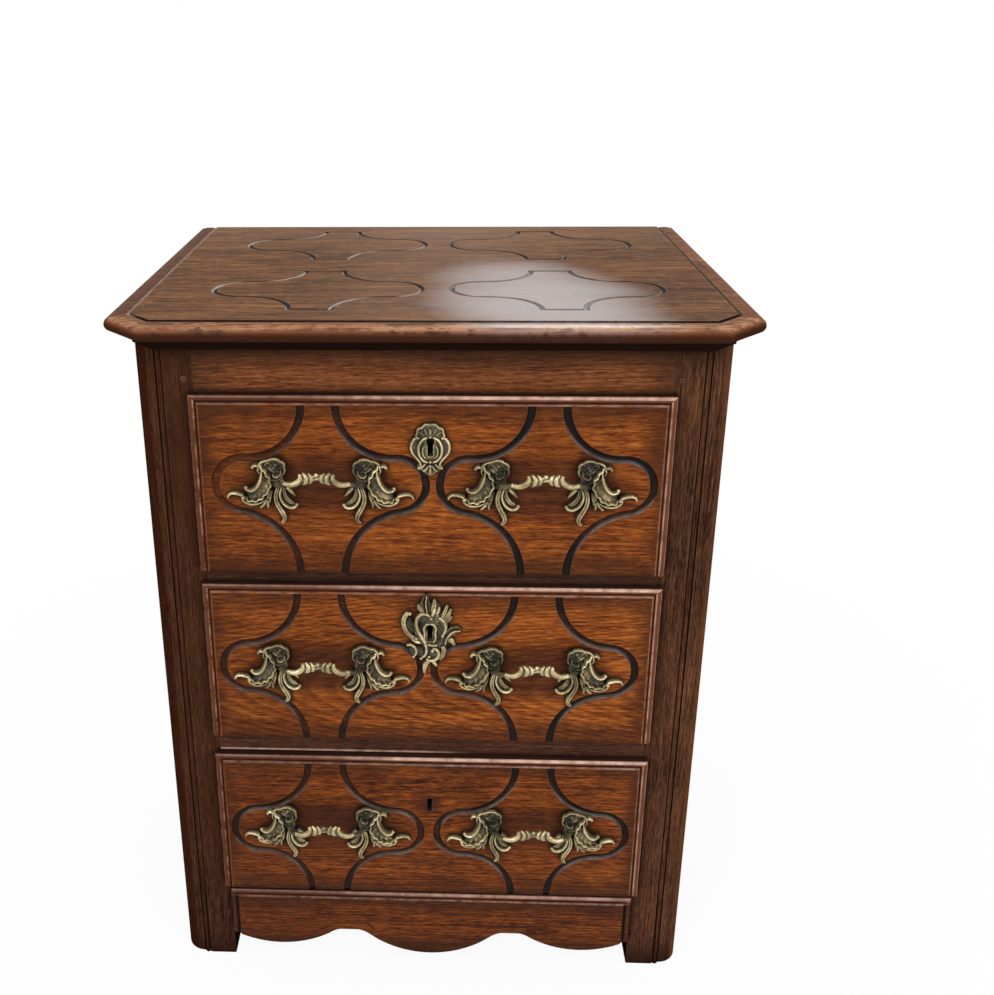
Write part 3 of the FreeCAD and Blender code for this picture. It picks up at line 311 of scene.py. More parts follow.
def plate(outline, hole, middle, thick, around=144):
    # Pierced plate: rays from the middle meet the outline and the hole, and the section between them is
    # carried round: outer foot, outer edge, bevel, inner edge, inner foot.
    def reach(points):
        ring = through(points + points[:1], 400)[:-1] - middle
        turn = np.arctan2(ring[:, 1], ring[:, 0])
        order = np.argsort(turn)
        return np.interp(angle, turn[order], np.hypot(*ring.T)[order], period=2 * np.pi)
    angle = np.linspace(-np.pi, np.pi, around, endpoint=False)
    outer = reach(outline)
    inner = reach(hole)
    band = outer - inner
    rows = [outer, outer, outer - 0.05 * band, outer - 0.3 * band, inner + 0.3 * band, inner, inner]
    heights = np.array([0, 0.6, 0.95, 0.75, 0.8, 1.0, 0]) * thick
    radii = np.array(rows)
    flat = np.stack([middle[0] + radii * np.cos(angle), middle[1] + radii * np.sin(angle)], -1)
    points = np.concatenate([flat, np.broadcast_to(heights[:, None, None], (*radii.shape, 1))], -1)
    place = np.arange(radii.size).reshape(radii.shape)
    below, after = np.roll(place, -1, 0), np.roll(place, -1, 1)
    faces = np.stack([place, after, np.roll(after, -1, 0), below], -1).reshape(-1, 4).tolist()
    crest = np.array([0.1, 0.5, 0.6, 0.15, 0.2, 0.7, 0.1])[:, None] * np.ones(around)
    return points.reshape(-1, 3), faces, crest.ravel()


# Shader starts, shared by the finishes
def found(tree, kind):
    return next(node for node in tree.nodes if node.type == kind)


def newFinish(name):
    material = bpy.data.materials.new(name)
    material.use_nodes = True
    tree = material.node_tree
    signal = Signal(tree)
    place = signal.node("ShaderNodeTexCoord", out=3)  # object coordinates, in metres
    return material, signal, found(tree, "BSDF_PRINCIPLED"), place


def noise(signal, place, scale, detail=2.0, rough=0.5, shift=(0, 0, 0)):
    # cloud noise on object coordinates, with one scale or one for each axis
    moved = signal.node("ShaderNodeMapping", {0: place, 1: shift, 3: tuple(np.ones(3) * scale)})
    sockets = {"Vector": moved, "Scale": 1.0, "Detail": detail, "Roughness": rough}
    return signal.node("ShaderNodeTexNoise", sockets)


# Oak. A look's grain names the axes along the fibres, across them and into the board
fibreNoise = dict(  # features in a metre along the fibres and across them, detail and roughness
    sway=(1.4, 6, 2), ripple=(9, 45, 2), cloud=(5, 15, 3), blotch=(18, 40, 4, 0.6),
    speck=(95, 620, 1, 0.6), fine=(55, 1200, 1, 0.6), pore=(40, 1300, 1), figure=(13, 400), mottle=75,
)
toneStops = (0.0, 0.28, 0.5, 0.75, 1.0)  # places of an oak's five colours from dark to pale


def oak(name, look):
    material, signal, shader, place = newFinish(name)
    axes = [signal.node("ShaderNodeSeparateXYZ", {0: place}, k) for k in range(3)]
    order = ["xyz".index(letter) for letter in look["grain"]]
    length, across, depth = (axes[k] for k in order)
    seed = look.get("seed", 0.0)

    def fibres(lengthwise, crosswise, detail, rough=0.5):
        scale = [0, 0, 0]
        for k, value in zip(order, (lengthwise, crosswise, crosswise)):
            scale[k] = value
        return noise(signal, place, scale, detail, rough, (seed, 2.3 * seed, 0.7 * seed)) - 0.5

    sway, ripple, cloud, blotch = (fibres(*fibreNoise[key]) for key in ("sway", "ripple", "cloud", "blotch"))
    speck, fine = (fibres(*fibreNoise[key]) for key in ("speck", "fine"))
    streak = fibres(*look.get("figure", fibreNoise["figure"]), 2, 0.6)
    pore = fibres(*fibreNoise["pore"]).step(0.06, 0.22)
    mottle = noise(signal, place, fibreNoise["mottle"], 4.0, 0.6, [seed] * 3) - 0.5
    # Growth rings: distance from a pith line that leans along the board, in steps of one ring
    side = across - look["pith"][0] + sway * 0.05
    back = depth - look["pith"][1] + length * look.get("lean", 0.1) + ripple * 0.006
    ring = (side * side + back * back) ** 0.5 / look.get("pitch", 0.006)
    turns = ring + ripple * 0.8
    phase = turns.math("FRACT", turns)
    late = phase.step(0.1, 0.75) * (1 - phase.step(0.86, 1.0))
    tone = look.get("tone", 0.46) + (late - 0.4) * look.get("rings", 0.1) + streak * look.get("streak", 1.05)
    tone = tone + (fine + speck) * 0.85 + cloud * look.get("cloud", 0.55) + blotch * 0.5
    board = tone.ramp(look.get("stops", toneStops), look["colours"])
    # pale flecks: wax film, partly painted as scattered highlights
    board = ((mottle + fine) * 1.6).step(0.05, 0.6).tint(board, look["filmAndSheen"])
    board = (pore * 0.5).tint(board, look["pores"])
    # Wear pales the arrises that stand out, and where little light reaches the wood darkens with grime and
    # painted shade
    openNear, openWide = (
        signal.node("ShaderNodeAmbientOcclusion", {"Distance": reach}, 1, samples=6)
        for reach in (0.008, look.get("reach", 0.05))
    )
    flat = signal.node("ShaderNodeNewGeometry", out=1)
    eased = signal.node("ShaderNodeBevel", {"Radius": 0.0022}, samples=4)
    turn = 1 - signal.node("ShaderNodeVectorMath", {0: flat, 1: eased}, 1, operation="DOT_PRODUCT")
    wear = (turn * 7 * openNear + mottle * 1.2 + ripple * 0.6).step(0.3, 1.1) * look.get("wear", 0.6)
    board = wear.tint(board, look["worn"])
    stainAndShade = ((1 - openWide) * 1.9 + cloud * 0.8 + streak * 0.4).step(0.08, 0.8) * look.get("grimeAndShade", 0.8)
    board = stainAndShade.tint(board, look["dirtAndShade"])
    grimeAndShade = ((1 - openNear) * 1.6 + mottle * 0.5).step(0.3, 1.1) * look.get("grimeAndShade", 0.8)
    board = grimeAndShade.tint(board, look["sootAndShade"])
    # Marks of this board alone: grooves, beads, noses and its polish, with painted highlights and painted
    # shade among them
    facing = [signal.node("ShaderNodeSeparateXYZ", {0: flat}, k) for k in range(3)]
    coat = 0.0
    if "marks" in look:
        layers, coat = look["marks"](*axes, facing, mottle, streak, cloud)
        for mask, colour in layers:
            board = mask.tint(board, colour)
    relief = late * 0.2 + streak * 0.4 + fine * 0.6 - pore * 0.7
    soft = signal.node("ShaderNodeBevel", {"Radius": 0.0008}, samples=4)
    bump = {"Strength": 0.45, "Distance": 0.0006, "Height": relief, "Normal": soft}
    normal = signal.node("ShaderNodeBump", bump)
    roughness = look.get("gloss", 0.46) + stainAndShade * 0.2 + grimeAndShade * 0.2 + streak * 0.25 + cloud * 0.15
    fill(shader, {
        "Base Color": board, "Roughness": roughness, "Normal": normal,
        "Specular IOR Level": look.get("sheen", 0.06), "Coat Weight": coat,
        "Coat Roughness": 0.28, "Coat IOR": look.get("index", 1.65),
    })
    return material


def least(first, *others):  # the smallest of several signals
    for other in others:
        first = first.math("MINIMUM", first, other)
    return first


beadEdge = dict(  # distances in from the board's edge, in metres
    outerArris=(0.0006, 0.0015), innerArris=(0.0046, 0.0054), arrisEnd=(0.0060, 0.0068),
    bead=(0.0066, 0.0078), quirk=(0.0064, 0.0076), quirkEnd=(0.0078, 0.0096),
    chamfer=(0.0088, 0.0098), field=(0.0106, 0.0114),
)


def beadMarks(node, pulls=None, faint=-1.0, extra=None, shine=1.0):
    # bead, quirk and chamfer round the top and the ends of a board, the grooves in its field, hand grime and
    # painted shade round its pulls;
    # painted highlights on bead, chamfer, arrises and groove walls, painted shade on the field's left, the
    # bead's top, the quirk and grooves; grooves pale left of faint
    low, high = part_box(node)

    def marks(x, y, z, facing, mottle, streak, cloud):
        edge = least(x - low.x, high.x - x, high.z - z)
        field = edge.step(*beadEdge["field"])
        bead = 1 - edge.step(*beadEdge["bead"])
        quirk = edge.step(*beadEdge["quirk"]) * (1 - edge.step(*beadEdge["quirkEnd"]))
        chamfer = edge.step(*beadEdge["chamfer"]) - field
        lit = x.step(-0.2, 0.2)
        # painted light: the top bead brightens towards the right
        bright = x.step(-0.16, 0.02)
        up = facing[2].step(0.15, 0.5)
        crest = facing[2].step(-0.1, 0.16)
        shelf = facing[2].step(0.74, 0.94)
        sides = abs(facing[0]).step(0.15, 0.6)
        depth = y - low.y
        sunk = depth.step(0.0004, 0.0016) * field
        rim = least(edge, z - low.z)
        corner = (1 - rim.step(0.004, 0.05) + cloud * 1.6 + mottle * 0.6).step(0.2, 1.15) * field
        shade = (1 - x.step(-0.27, 0.02)) * field
        shallow = depth.step(0.0002, 0.0006) * (1 - depth.step(0.0010, 0.0022)) * field
        # painted reflection on groove walls that face up, stronger to the right
        wall = (sunk * 0.35 + shallow * 0.6) * up * (0.5 + lit * 0.3 + mottle * 2)
        # painted highlight along the chamfer where it faces up or sideways, stronger to the right
        crown = chamfer * (up * (0.4 + lit * 0.3) + sides * (0.15 + lit * 0.4)) * (0.6 + mottle * 3.4)
        fade = x - z.step(0.66, 0.69) * 0.06
        sharp = 0.2 + 0.8 * fade.step(faint - 0.015, faint + 0.02)
        sill = (1 - (z - low.z + mottle * 0.006).step(0.0005, 0.005)) * field
        outer = least(x - low.x, high.x - x)
        beside = 1 - (outer - (high.z - z)).step(-0.0005, 0.0005)
        upright = bead * beside
        innerArris = outer.step(*beadEdge["innerArris"]) * (1 - outer.step(*beadEdge["arrisEnd"]))
        arris = 1 - outer.step(*beadEdge["outerArris"]) + innerArris
        # painted highlights on the upright beads' arrises, stronger to the right
        arrisGlint = upright * arris * (0.3 + lit * 0.55 + mottle * 3.5)
        # painted highlight line along the top bead, strongest to the right
        rub = (bead - upright) * crest * (1 - shelf) * (0.04 + bright * 0.9) * (0.85 + mottle * 3) * shine
        layers = [
            (corner * 0.75, (54, 28, 16)),
            (shade * 0.27, (50, 24, 14)),
            (sill * 0.55, (38, 20, 12)),
            # dark groove floors: grime and painted shade
            (sunk * sharp * (0.76 + lit * 0.16 + mottle * 0.7 + cloud * 0.9), (26, 22, 21)),
            (wall * sharp, (138, 124, 118)),
            (bead * 0.85, (78, 43, 30)),
            # the top bead paler to the right: painted light
            ((bead - upright) * bright * 0.5, (127, 76, 57)),
            # upright beads orange-brown, paler to the right as painted light
            (upright * (0.2 + lit * 0.55 + mottle), (108, 62, 42)),
            # upward-facing part of the bead paler: painted highlight
            (bead * up * (1 - shelf) * (0.35 + bright * 0.35 + mottle * 2), (146, 94, 72)),
            # the bead's flat top dark: painted shade
            (bead * shelf * 0.85, (36, 22, 18)),
            # dark quirk: painted shade
            (quirk * (0.88 - beside * 0.4), (20, 12, 10)),
            (rub * 0.84, (216, 178, 158)),
            (crown, (158, 134, 122)),
            (arrisGlint, (176, 136, 112)),
        ]
        for hand in pulls or []:
            left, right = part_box(hand)
            aside = (x - (left.x + right.x) / 2) / 0.085
            above = (z - (left.z + right.z) / 2 - 0.004) / 0.036
            # darker in an oval round each pull: hand grime and painted shade
            pullGrimeAndShade = 1 - (aside * aside + above * above + cloud * 1.6 + mottle * 0.6).step(0.1, 1.4)
            layers.insert(0, (pullGrimeAndShade * field * 0.62, (52, 27, 18)))
        if extra:
            layers = extra(x, z, mottle) + layers
        return layers, bead * up * (1 - shelf) * 0.4
    return marks


def drawerMarks(part, faint=-1.0, extra=None):
    pulls = [part + "_pull_" + hand for hand in hands]
    return beadMarks(part + "_drawer_front", pulls, faint, extra)


keySmudge = dict(height=0.254, spread=(0.004, 0.022), colour=(44, 24, 16))


def keyWear(x, z, mottle):
    # dark smudge that keys have left round the bare keyhole
    drop = z - keySmudge["height"]
    worn = 1 - ((x * x + drop * drop) ** 0.5 + mottle * 0.012).step(*keySmudge["spread"])
    return [(worn * 0.7, keySmudge["colour"])]


innerLine = dict(  # arcs of the line along the apron's edge: heights of their centres, places and radii
    centre=0.1348, middleRadius=0.1078, lobeCentre=0.1357, lobeAside=0.188, lobeRadius=0.0977,
    middleEnd=(0.0790, 0.0800), lobeStart=(0.1234, 0.1244), notch=0.104, flat=0.0625, colour=(38, 20, 14),
)


def apronLine(x, z, mottle):
    # dark line about 10 mm inside the apron's outline: three arcs joined by flats over the notches
    aside = abs(x)
    drop = innerLine["centre"] - z
    beside = aside - innerLine["lobeAside"]
    below = innerLine["lobeCentre"] - z
    middle = (x * x + drop * drop) ** 0.5 - innerLine["middleRadius"]
    lobe = (beside * beside + below * below) ** 0.5 - innerLine["lobeRadius"]
    inMiddle = 1 - aside.step(*innerLine["middleEnd"])
    inLobe = aside.step(*innerLine["lobeStart"])
    gap = middle * inMiddle + lobe * inLobe + (z - innerLine["flat"]) * (1 - inMiddle - inLobe)
    line = 1 - abs(gap).step(0.0004, 0.0026)
    near = abs(aside - innerLine["notch"])
    strength = 0.2 + 0.65 * (1 - near.step(0.015, 0.06))
    return [(line * strength * (0.8 + mottle * 2), innerLine["colour"])]


def friezeMarks(x, y, z, facing, mottle, streak, cloud):
    # grime and painted shadow under the top, and darker towards the posts
    low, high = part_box("frieze_rail")
    under = 1 - (high.z - z + cloud * 0.03 + streak * 0.02).step(0.006, 0.036)
    ends = (abs(x) + cloud * 0.06).step(0.2, 0.26)
    grimeAndShadowBrown = (46, 27, 19)
    return [(under * 0.6, grimeAndShadowBrown), (ends * 0.55, grimeAndShadowBrown)], 0.0


def arrisMarks(node, colour=(190, 152, 132)):
    # rubbed lower arris along the left part of a rail
    low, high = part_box(node)

    def marks(x, y, z, facing, mottle, streak, cloud):
        arris = 1 - (z - low.z).step(0.0012, 0.0038)
        return [(arris * (1 - x.step(-0.02, 0.06)) * (0.8 + mottle * 2), colour)], 0.0
    return marks


def postMarks(x, y, z, facing, mottle, streak, cloud):
    # red-brown left post, darker as painted shade and darkest on its outer corner, paler right corner as
    # painted light, and the feet's inner faces dark as painted shade
    low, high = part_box("front_post_left")[0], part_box("front_post_right")[1]
    inward = (x * facing[0] * -1).step(0.05, 0.12)
    left = 1 - x.step(-0.02, 0.02)
    leftCorner = 1 - (x - low.x).step(0.013, 0.018)
    rightCorner = 1 - (high.x - x).step(0.006, 0.012)
    return [
        # painted shade: the left post darker, over its own redder tone
        (left * (0.5 + cloud * 1.2), (52, 27, 17)),
        (leftCorner * 0.66, (46, 16, 5)),
        # painted light on the right post's outer corner
        (rightCorner * (0.4 + mottle), (118, 70, 44)),
        # painted shade on the feet's inner faces
        (inward * (1 - z.step(0.08, 0.13)) * 0.85, (26, 17, 14)),
    ], 0.0


topEdge = dict(  # distances in from the top's edge, and its clipped front corners, in metres
    nose=(0.0205, 0.0225), quirk=(0.0222, 0.0232), quirkEnd=(0.0258, 0.0264), field=(0.030, 0.034),
    clip=0.0428,
)
polishAndReflection = dict(middle=(0.1014, -0.18), half=(0.105, 0.2), lean=0.12)  # polished patch with a painted reflection: place, half sizes, slant


def topMarks(x, y, z, facing, mottle, streak, cloud):
    # rounded nose with a painted highlight above and painted shade below and on the left, grooves with
    # painted shade and painted highlights on their walls, and a polished patch right of the middle with a
    # painted reflection
    low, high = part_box("top_board")
    fromSide = least(high.x - x, x - low.x)
    fromFront = y - low.y
    edge = least(fromFront, fromSide, (fromSide + fromFront - topEdge["clip"]) * 0.7071)
    nose = 1 - edge.step(*topEdge["nose"])
    front = 1 - fromFront.step(0.040, 0.048)
    left = 1 - x.step(-0.02, 0.02)
    up = facing[2]
    lit = x.step(-0.3, 0.3)
    inner = edge.step(*topEdge["field"])
    sunk = (high.z - z).step(0.0003, 0.0013) * inner
    # painted highlight on groove walls facing right, most on the left
    wall = sunk * facing[0].step(0.08, 0.4) * (0.35 + left * 0.5 + mottle)
    quirk = edge.step(*topEdge["quirk"]) * (1 - edge.step(*topEdge["quirkEnd"]))
    # painted highlight in the quirk on the left side
    pale = quirk * left * (1 - front)
    (midX, midY), (halfX, halfY) = polishAndReflection["middle"], polishAndReflection["half"]
    aside = (x + y * polishAndReflection["lean"] - midX) / halfX
    ahead = (y - midY) / halfY
    # painted reflection on the polished patch; its coat gloss below is real
    patch = 1 - (aside * aside + ahead * ahead + cloud * 1.1 + streak * 0.7).step(-0.15, 1.8)
    # painted reflection: a faint broad sheen in the middle and towards the back
    reflectionHaze = 1 - (abs(x - 0.02) + cloud * 0.1).step(0.0, 0.2) + y.step(0.05, 0.27) * 0.7
    # painted shade and grime on the recessed cove under the nose
    deep = (high.z - z).step(0.012, 0.016) * (1 - nose)
    crown = up.step(0.45, 0.85) * (1 - up.step(0.985, 0.999) * 0.5)
    # painted highlight on the nose's upper side, strongest at the front
    glow = nose * crown * (0.03 + front * 0.4 + lit * 0.14 + mottle * 1.6 + streak * 3)
    shade = nose * (1 - up.step(-0.1, 0.75)) * 0.9
    scuff = nose * (mottle * 1.9 + cloud + streak * 2.4).step(0.06, 0.36) * 0.8
    layers = [
        (reflectionHaze * 0.16, (186, 156, 136)),
        (patch * 0.39, (184, 177, 183)),
        (nose * (0.75 + mottle * 1.5), (122, 70, 42)),
        # the nose's left side darker: painted shade
        (nose * left * (1 - front) * 0.5, (70, 40, 28)),
        (glow, (214, 160, 118)),
        (shade, (50, 28, 20)),
        (scuff, (58, 34, 24)),
        # dark groove floors: grime and painted shade
        (sunk * (0.92 + mottle * 0.3), (34, 24, 20)),
        (wall, (196, 178, 166)),
        # dark quirk: painted shade
        (quirk * (0.85 + mottle * 1.5), (24, 15, 12)),
        (pale * (0.75 + mottle * 2), (196, 178, 168)),
        (deep, (30, 18, 14)),
    ]
    return layers, (0.13 + patch * 0.87) * up.step(0.2, 0.6)


drawerOak = dict(
    grain="xzy", pith=(0.70, -0.10), lean=0.06, pitch=0.0034,
    colours=[(40, 18, 9), (84, 39, 16), (120, 60, 22), (154, 82, 28), (184, 108, 46)], pores=(46, 20, 9),
    dirtAndShade=(48, 25, 12), sootAndShade=(22, 14, 10), worn=(160, 104, 74), filmAndSheen=(118, 67, 30), grimeAndShade=0.85, wear=0.4,
)
darkOak = dict(
    drawerOak, pith=(0.80, -0.10), cloud=0.8, streak=0.95,
    colours=[(28, 15, 11), (52, 30, 22), (74, 44, 31), (96, 57, 38), (126, 80, 54)],
    pores=(28, 14, 10), dirtAndShade=(34, 21, 17), sootAndShade=(18, 12, 10), worn=(134, 90, 66), filmAndSheen=(92, 60, 48), wear=0.5,
)
postOak = dict(
    darkOak, grain="zxy", pith=(0.0, -0.05), sheen=0.0, tone=0.52, marks=postMarks,
    colours=[(28, 16, 12), (52, 32, 23), (75, 48, 33), (97, 61, 41), (127, 85, 58)],
)
topOak = dict(
    darkOak, grain="xyz", pith=(0.05, 0.72), lean=0.04, pitch=0.007, sheen=0.0, marks=topMarks,
    cloud=0.6, reach=0.03, figure=(11, 150), streak=1.5, index=1.9,
    colours=[(62, 36, 20), (90, 55, 30), (113, 71, 36), (137, 90, 50), (164, 116, 72)],
    pores=(70, 44, 28), dirtAndShade=(60, 38, 28), worn=(190, 160, 142), filmAndSheen=(140, 101, 68), gloss=0.4, wear=0.55,
)
liningOak = dict(
    grain="yzx", pith=(0.5, 0.0), lean=0.05, pitch=0.006,
    colours=[(92, 64, 38), (130, 96, 60), (154, 117, 77), (176, 138, 95), (196, 162, 120)],
    pores=(84, 58, 34), dirtAndShade=(86, 62, 42), sootAndShade=(54, 38, 26), worn=(190, 156, 112), filmAndSheen=(160, 128, 92),
    grimeAndShade=0.7, wear=0.3, gloss=0.62,
)
dividerOak = dict(darkOak, tone=0.54, grimeAndShade=0.65)
boards = {
    "top oak": (topOak, ["top_board"]),
    "frieze oak": (dict(
        drawerOak, seed=1.7, tone=0.59, marks=friezeMarks,
        colours=[(36, 18, 11), (76, 39, 20), (106, 59, 32), (136, 79, 44), (164, 102, 62)],
    ), ["frieze_rail"]),
    "upper divider oak": (dict(dividerOak, seed=3.1), ["upper_divider"]),
    "lower divider oak": (dict(dividerOak, seed=3.9, marks=arrisMarks("lower_divider")), ["lower_divider"]),
    "apron oak": (dict(
        drawerOak, seed=4.4, tone=0.33, pith=(0.3, -0.12),
        marks=beadMarks("apron", extra=apronLine, shine=0.55),
    ), ["apron"]),
    "post oak": (postOak, [end + "_post_" + hand for end in ("front", "rear") for hand in hands]),
    "panel oak": (dict(darkOak, grain="zyx", pith=(0.0, 0.20)), ["side_panel_" + hand for hand in hands]),
    "side rail oak": (dict(darkOak, grain="yzx", pith=(0.4, 0.20)), [
        "side_" + end + "_rail_" + hand for end in ("top", "bottom") for hand in hands
    ]),
    "back rail oak": (dict(darkOak, seed=6.0), ["back_top_rail", "back_bottom_rail"]),
    "upper drawer oak": (dict(
        drawerOak, seed=0.4, tone=0.51, marks=drawerMarks("upper", faint=-0.222),
    ), ["upper_drawer_front"]),
    "middle drawer oak": (dict(
        drawerOak, seed=2.6, tone=0.56, rings=0.2, pith=(0.42, -0.12), lean=0.12, marks=drawerMarks("middle"),
    ), ["middle_drawer_front"]),
    "lower drawer oak": (dict(
        drawerOak, seed=5.2, tone=0.46, pith=(0.30, -0.11), lean=-0.05,
        marks=drawerMarks("lower", extra=keyWear),
    ), ["lower_drawer_front"]),
    "back board oak": (dict(liningOak, grain="zxy", seed=1.1), ["back_boards"]),
    "drawer side oak": (liningOak, [part + "_drawer_side_" + hand for part in parts for hand in hands]),
    "drawer back oak": (dict(liningOak, grain="xzy", seed=2.2), [part + "_drawer_back" for part in parts]),
    "drawer bottom oak": (dict(liningOak, grain="xyz", seed=3.3), [
        part + "_drawer_bottom" for part in parts
    ]),
    "runner oak": (dict(liningOak, seed=4.1), [
        *(part + "_runners" for part in parts), "drawer_guides", "kickers",
    ]),
    "peg oak": (dict(
        darkOak, seed=5.5, pitch=0.003, wear=0.2, stops=(0.0, 0.5, 1.0),
        colours=[(58, 36, 25), (92, 58, 40), (122, 82, 58)],
    ), ["frame_pegs"]),
}
for name, (look, boardNodes) in boards.items():
    finish = oak(name, look)
    for node in boardNodes:
        nodes[node].data.materials[0] = finish
print("oak on", sum(len(boardNodes) for look, boardNodes in boards.values()), "nodes")


# Brass: rubbed bright on the crests, brown in the hollows
def castBrass(name, look):
    material, signal, shader, place = newFinish(name)
    crest = signal.node("ShaderNodeAttribute", out=2, attribute_name="crest")
    pits = noise(signal, place, 420, 3.0)
    patch = noise(signal, place, 55, 2.0)
    openNear = signal.node("ShaderNodeAmbientOcclusion", {"Distance": look["hollow"]}, 1, samples=6)
    bright = (crest * 0.5 + openNear * 0.65 + (patch - 0.5) * 0.9 + (pits - 0.5) * 0.5 - 0.375).step(0.0, 1.0)
    colour = bright.ramp(look["stops"], look["colours"])
    lumps = noise(signal, place, 190, 2.0)
    bump = {"Strength": 0.5, "Distance": 0.0011, "Height": lumps + pits * 0.3}
    fill(shader, {
        "Base Color": colour, "Metallic": 0.3 + bright * 0.5, "Roughness": 0.62 - bright * 0.24,
        "Normal": signal.node("ShaderNodeBump", bump),
    })
    return material


brass = castBrass("aged brass", dict(
    hollow=0.005, stops=(0.0, 0.25, 0.55, 0.8, 1.0),
    colours=[(34, 30, 22), (82, 77, 62), (136, 121, 84), (180, 163, 120), (220, 206, 166)],
))


def forgedIron(name, look):
    # dark iron with rust clouds in its hollows
    material, signal, shader, place = newFinish(name)
    scale = noise(signal, place, 160, 4.0)
    cloud = noise(signal, place, 38, 3.0)
    rust = (cloud * 1.2 + scale * 0.6).step(0.85, 1.25)
    steel = scale.tint(look["steel"], look["worn"])
    bump = {"Strength": 0.4, "Distance": 0.0005, "Height": scale}
    fill(shader, {
        "Base Color": rust.tint(steel, look["rust"]), "Metallic": 0.85 - rust * 0.7,
        "Roughness": 0.45 + rust * 0.35, "Normal": signal.node("ShaderNodeBump", bump),
    })
    return material


iron = forgedIron("old iron", dict(steel=(62, 60, 58), worn=(112, 108, 104), rust=(92, 54, 32)))
ironNodes = ["_pull_nuts", "_lock_case", "_lock_bolt", "_lock_screws"]
for part in parts:
    for end in ironNodes:
        nodes[part + end].data.materials[0] = iron
print("metal finishes made")


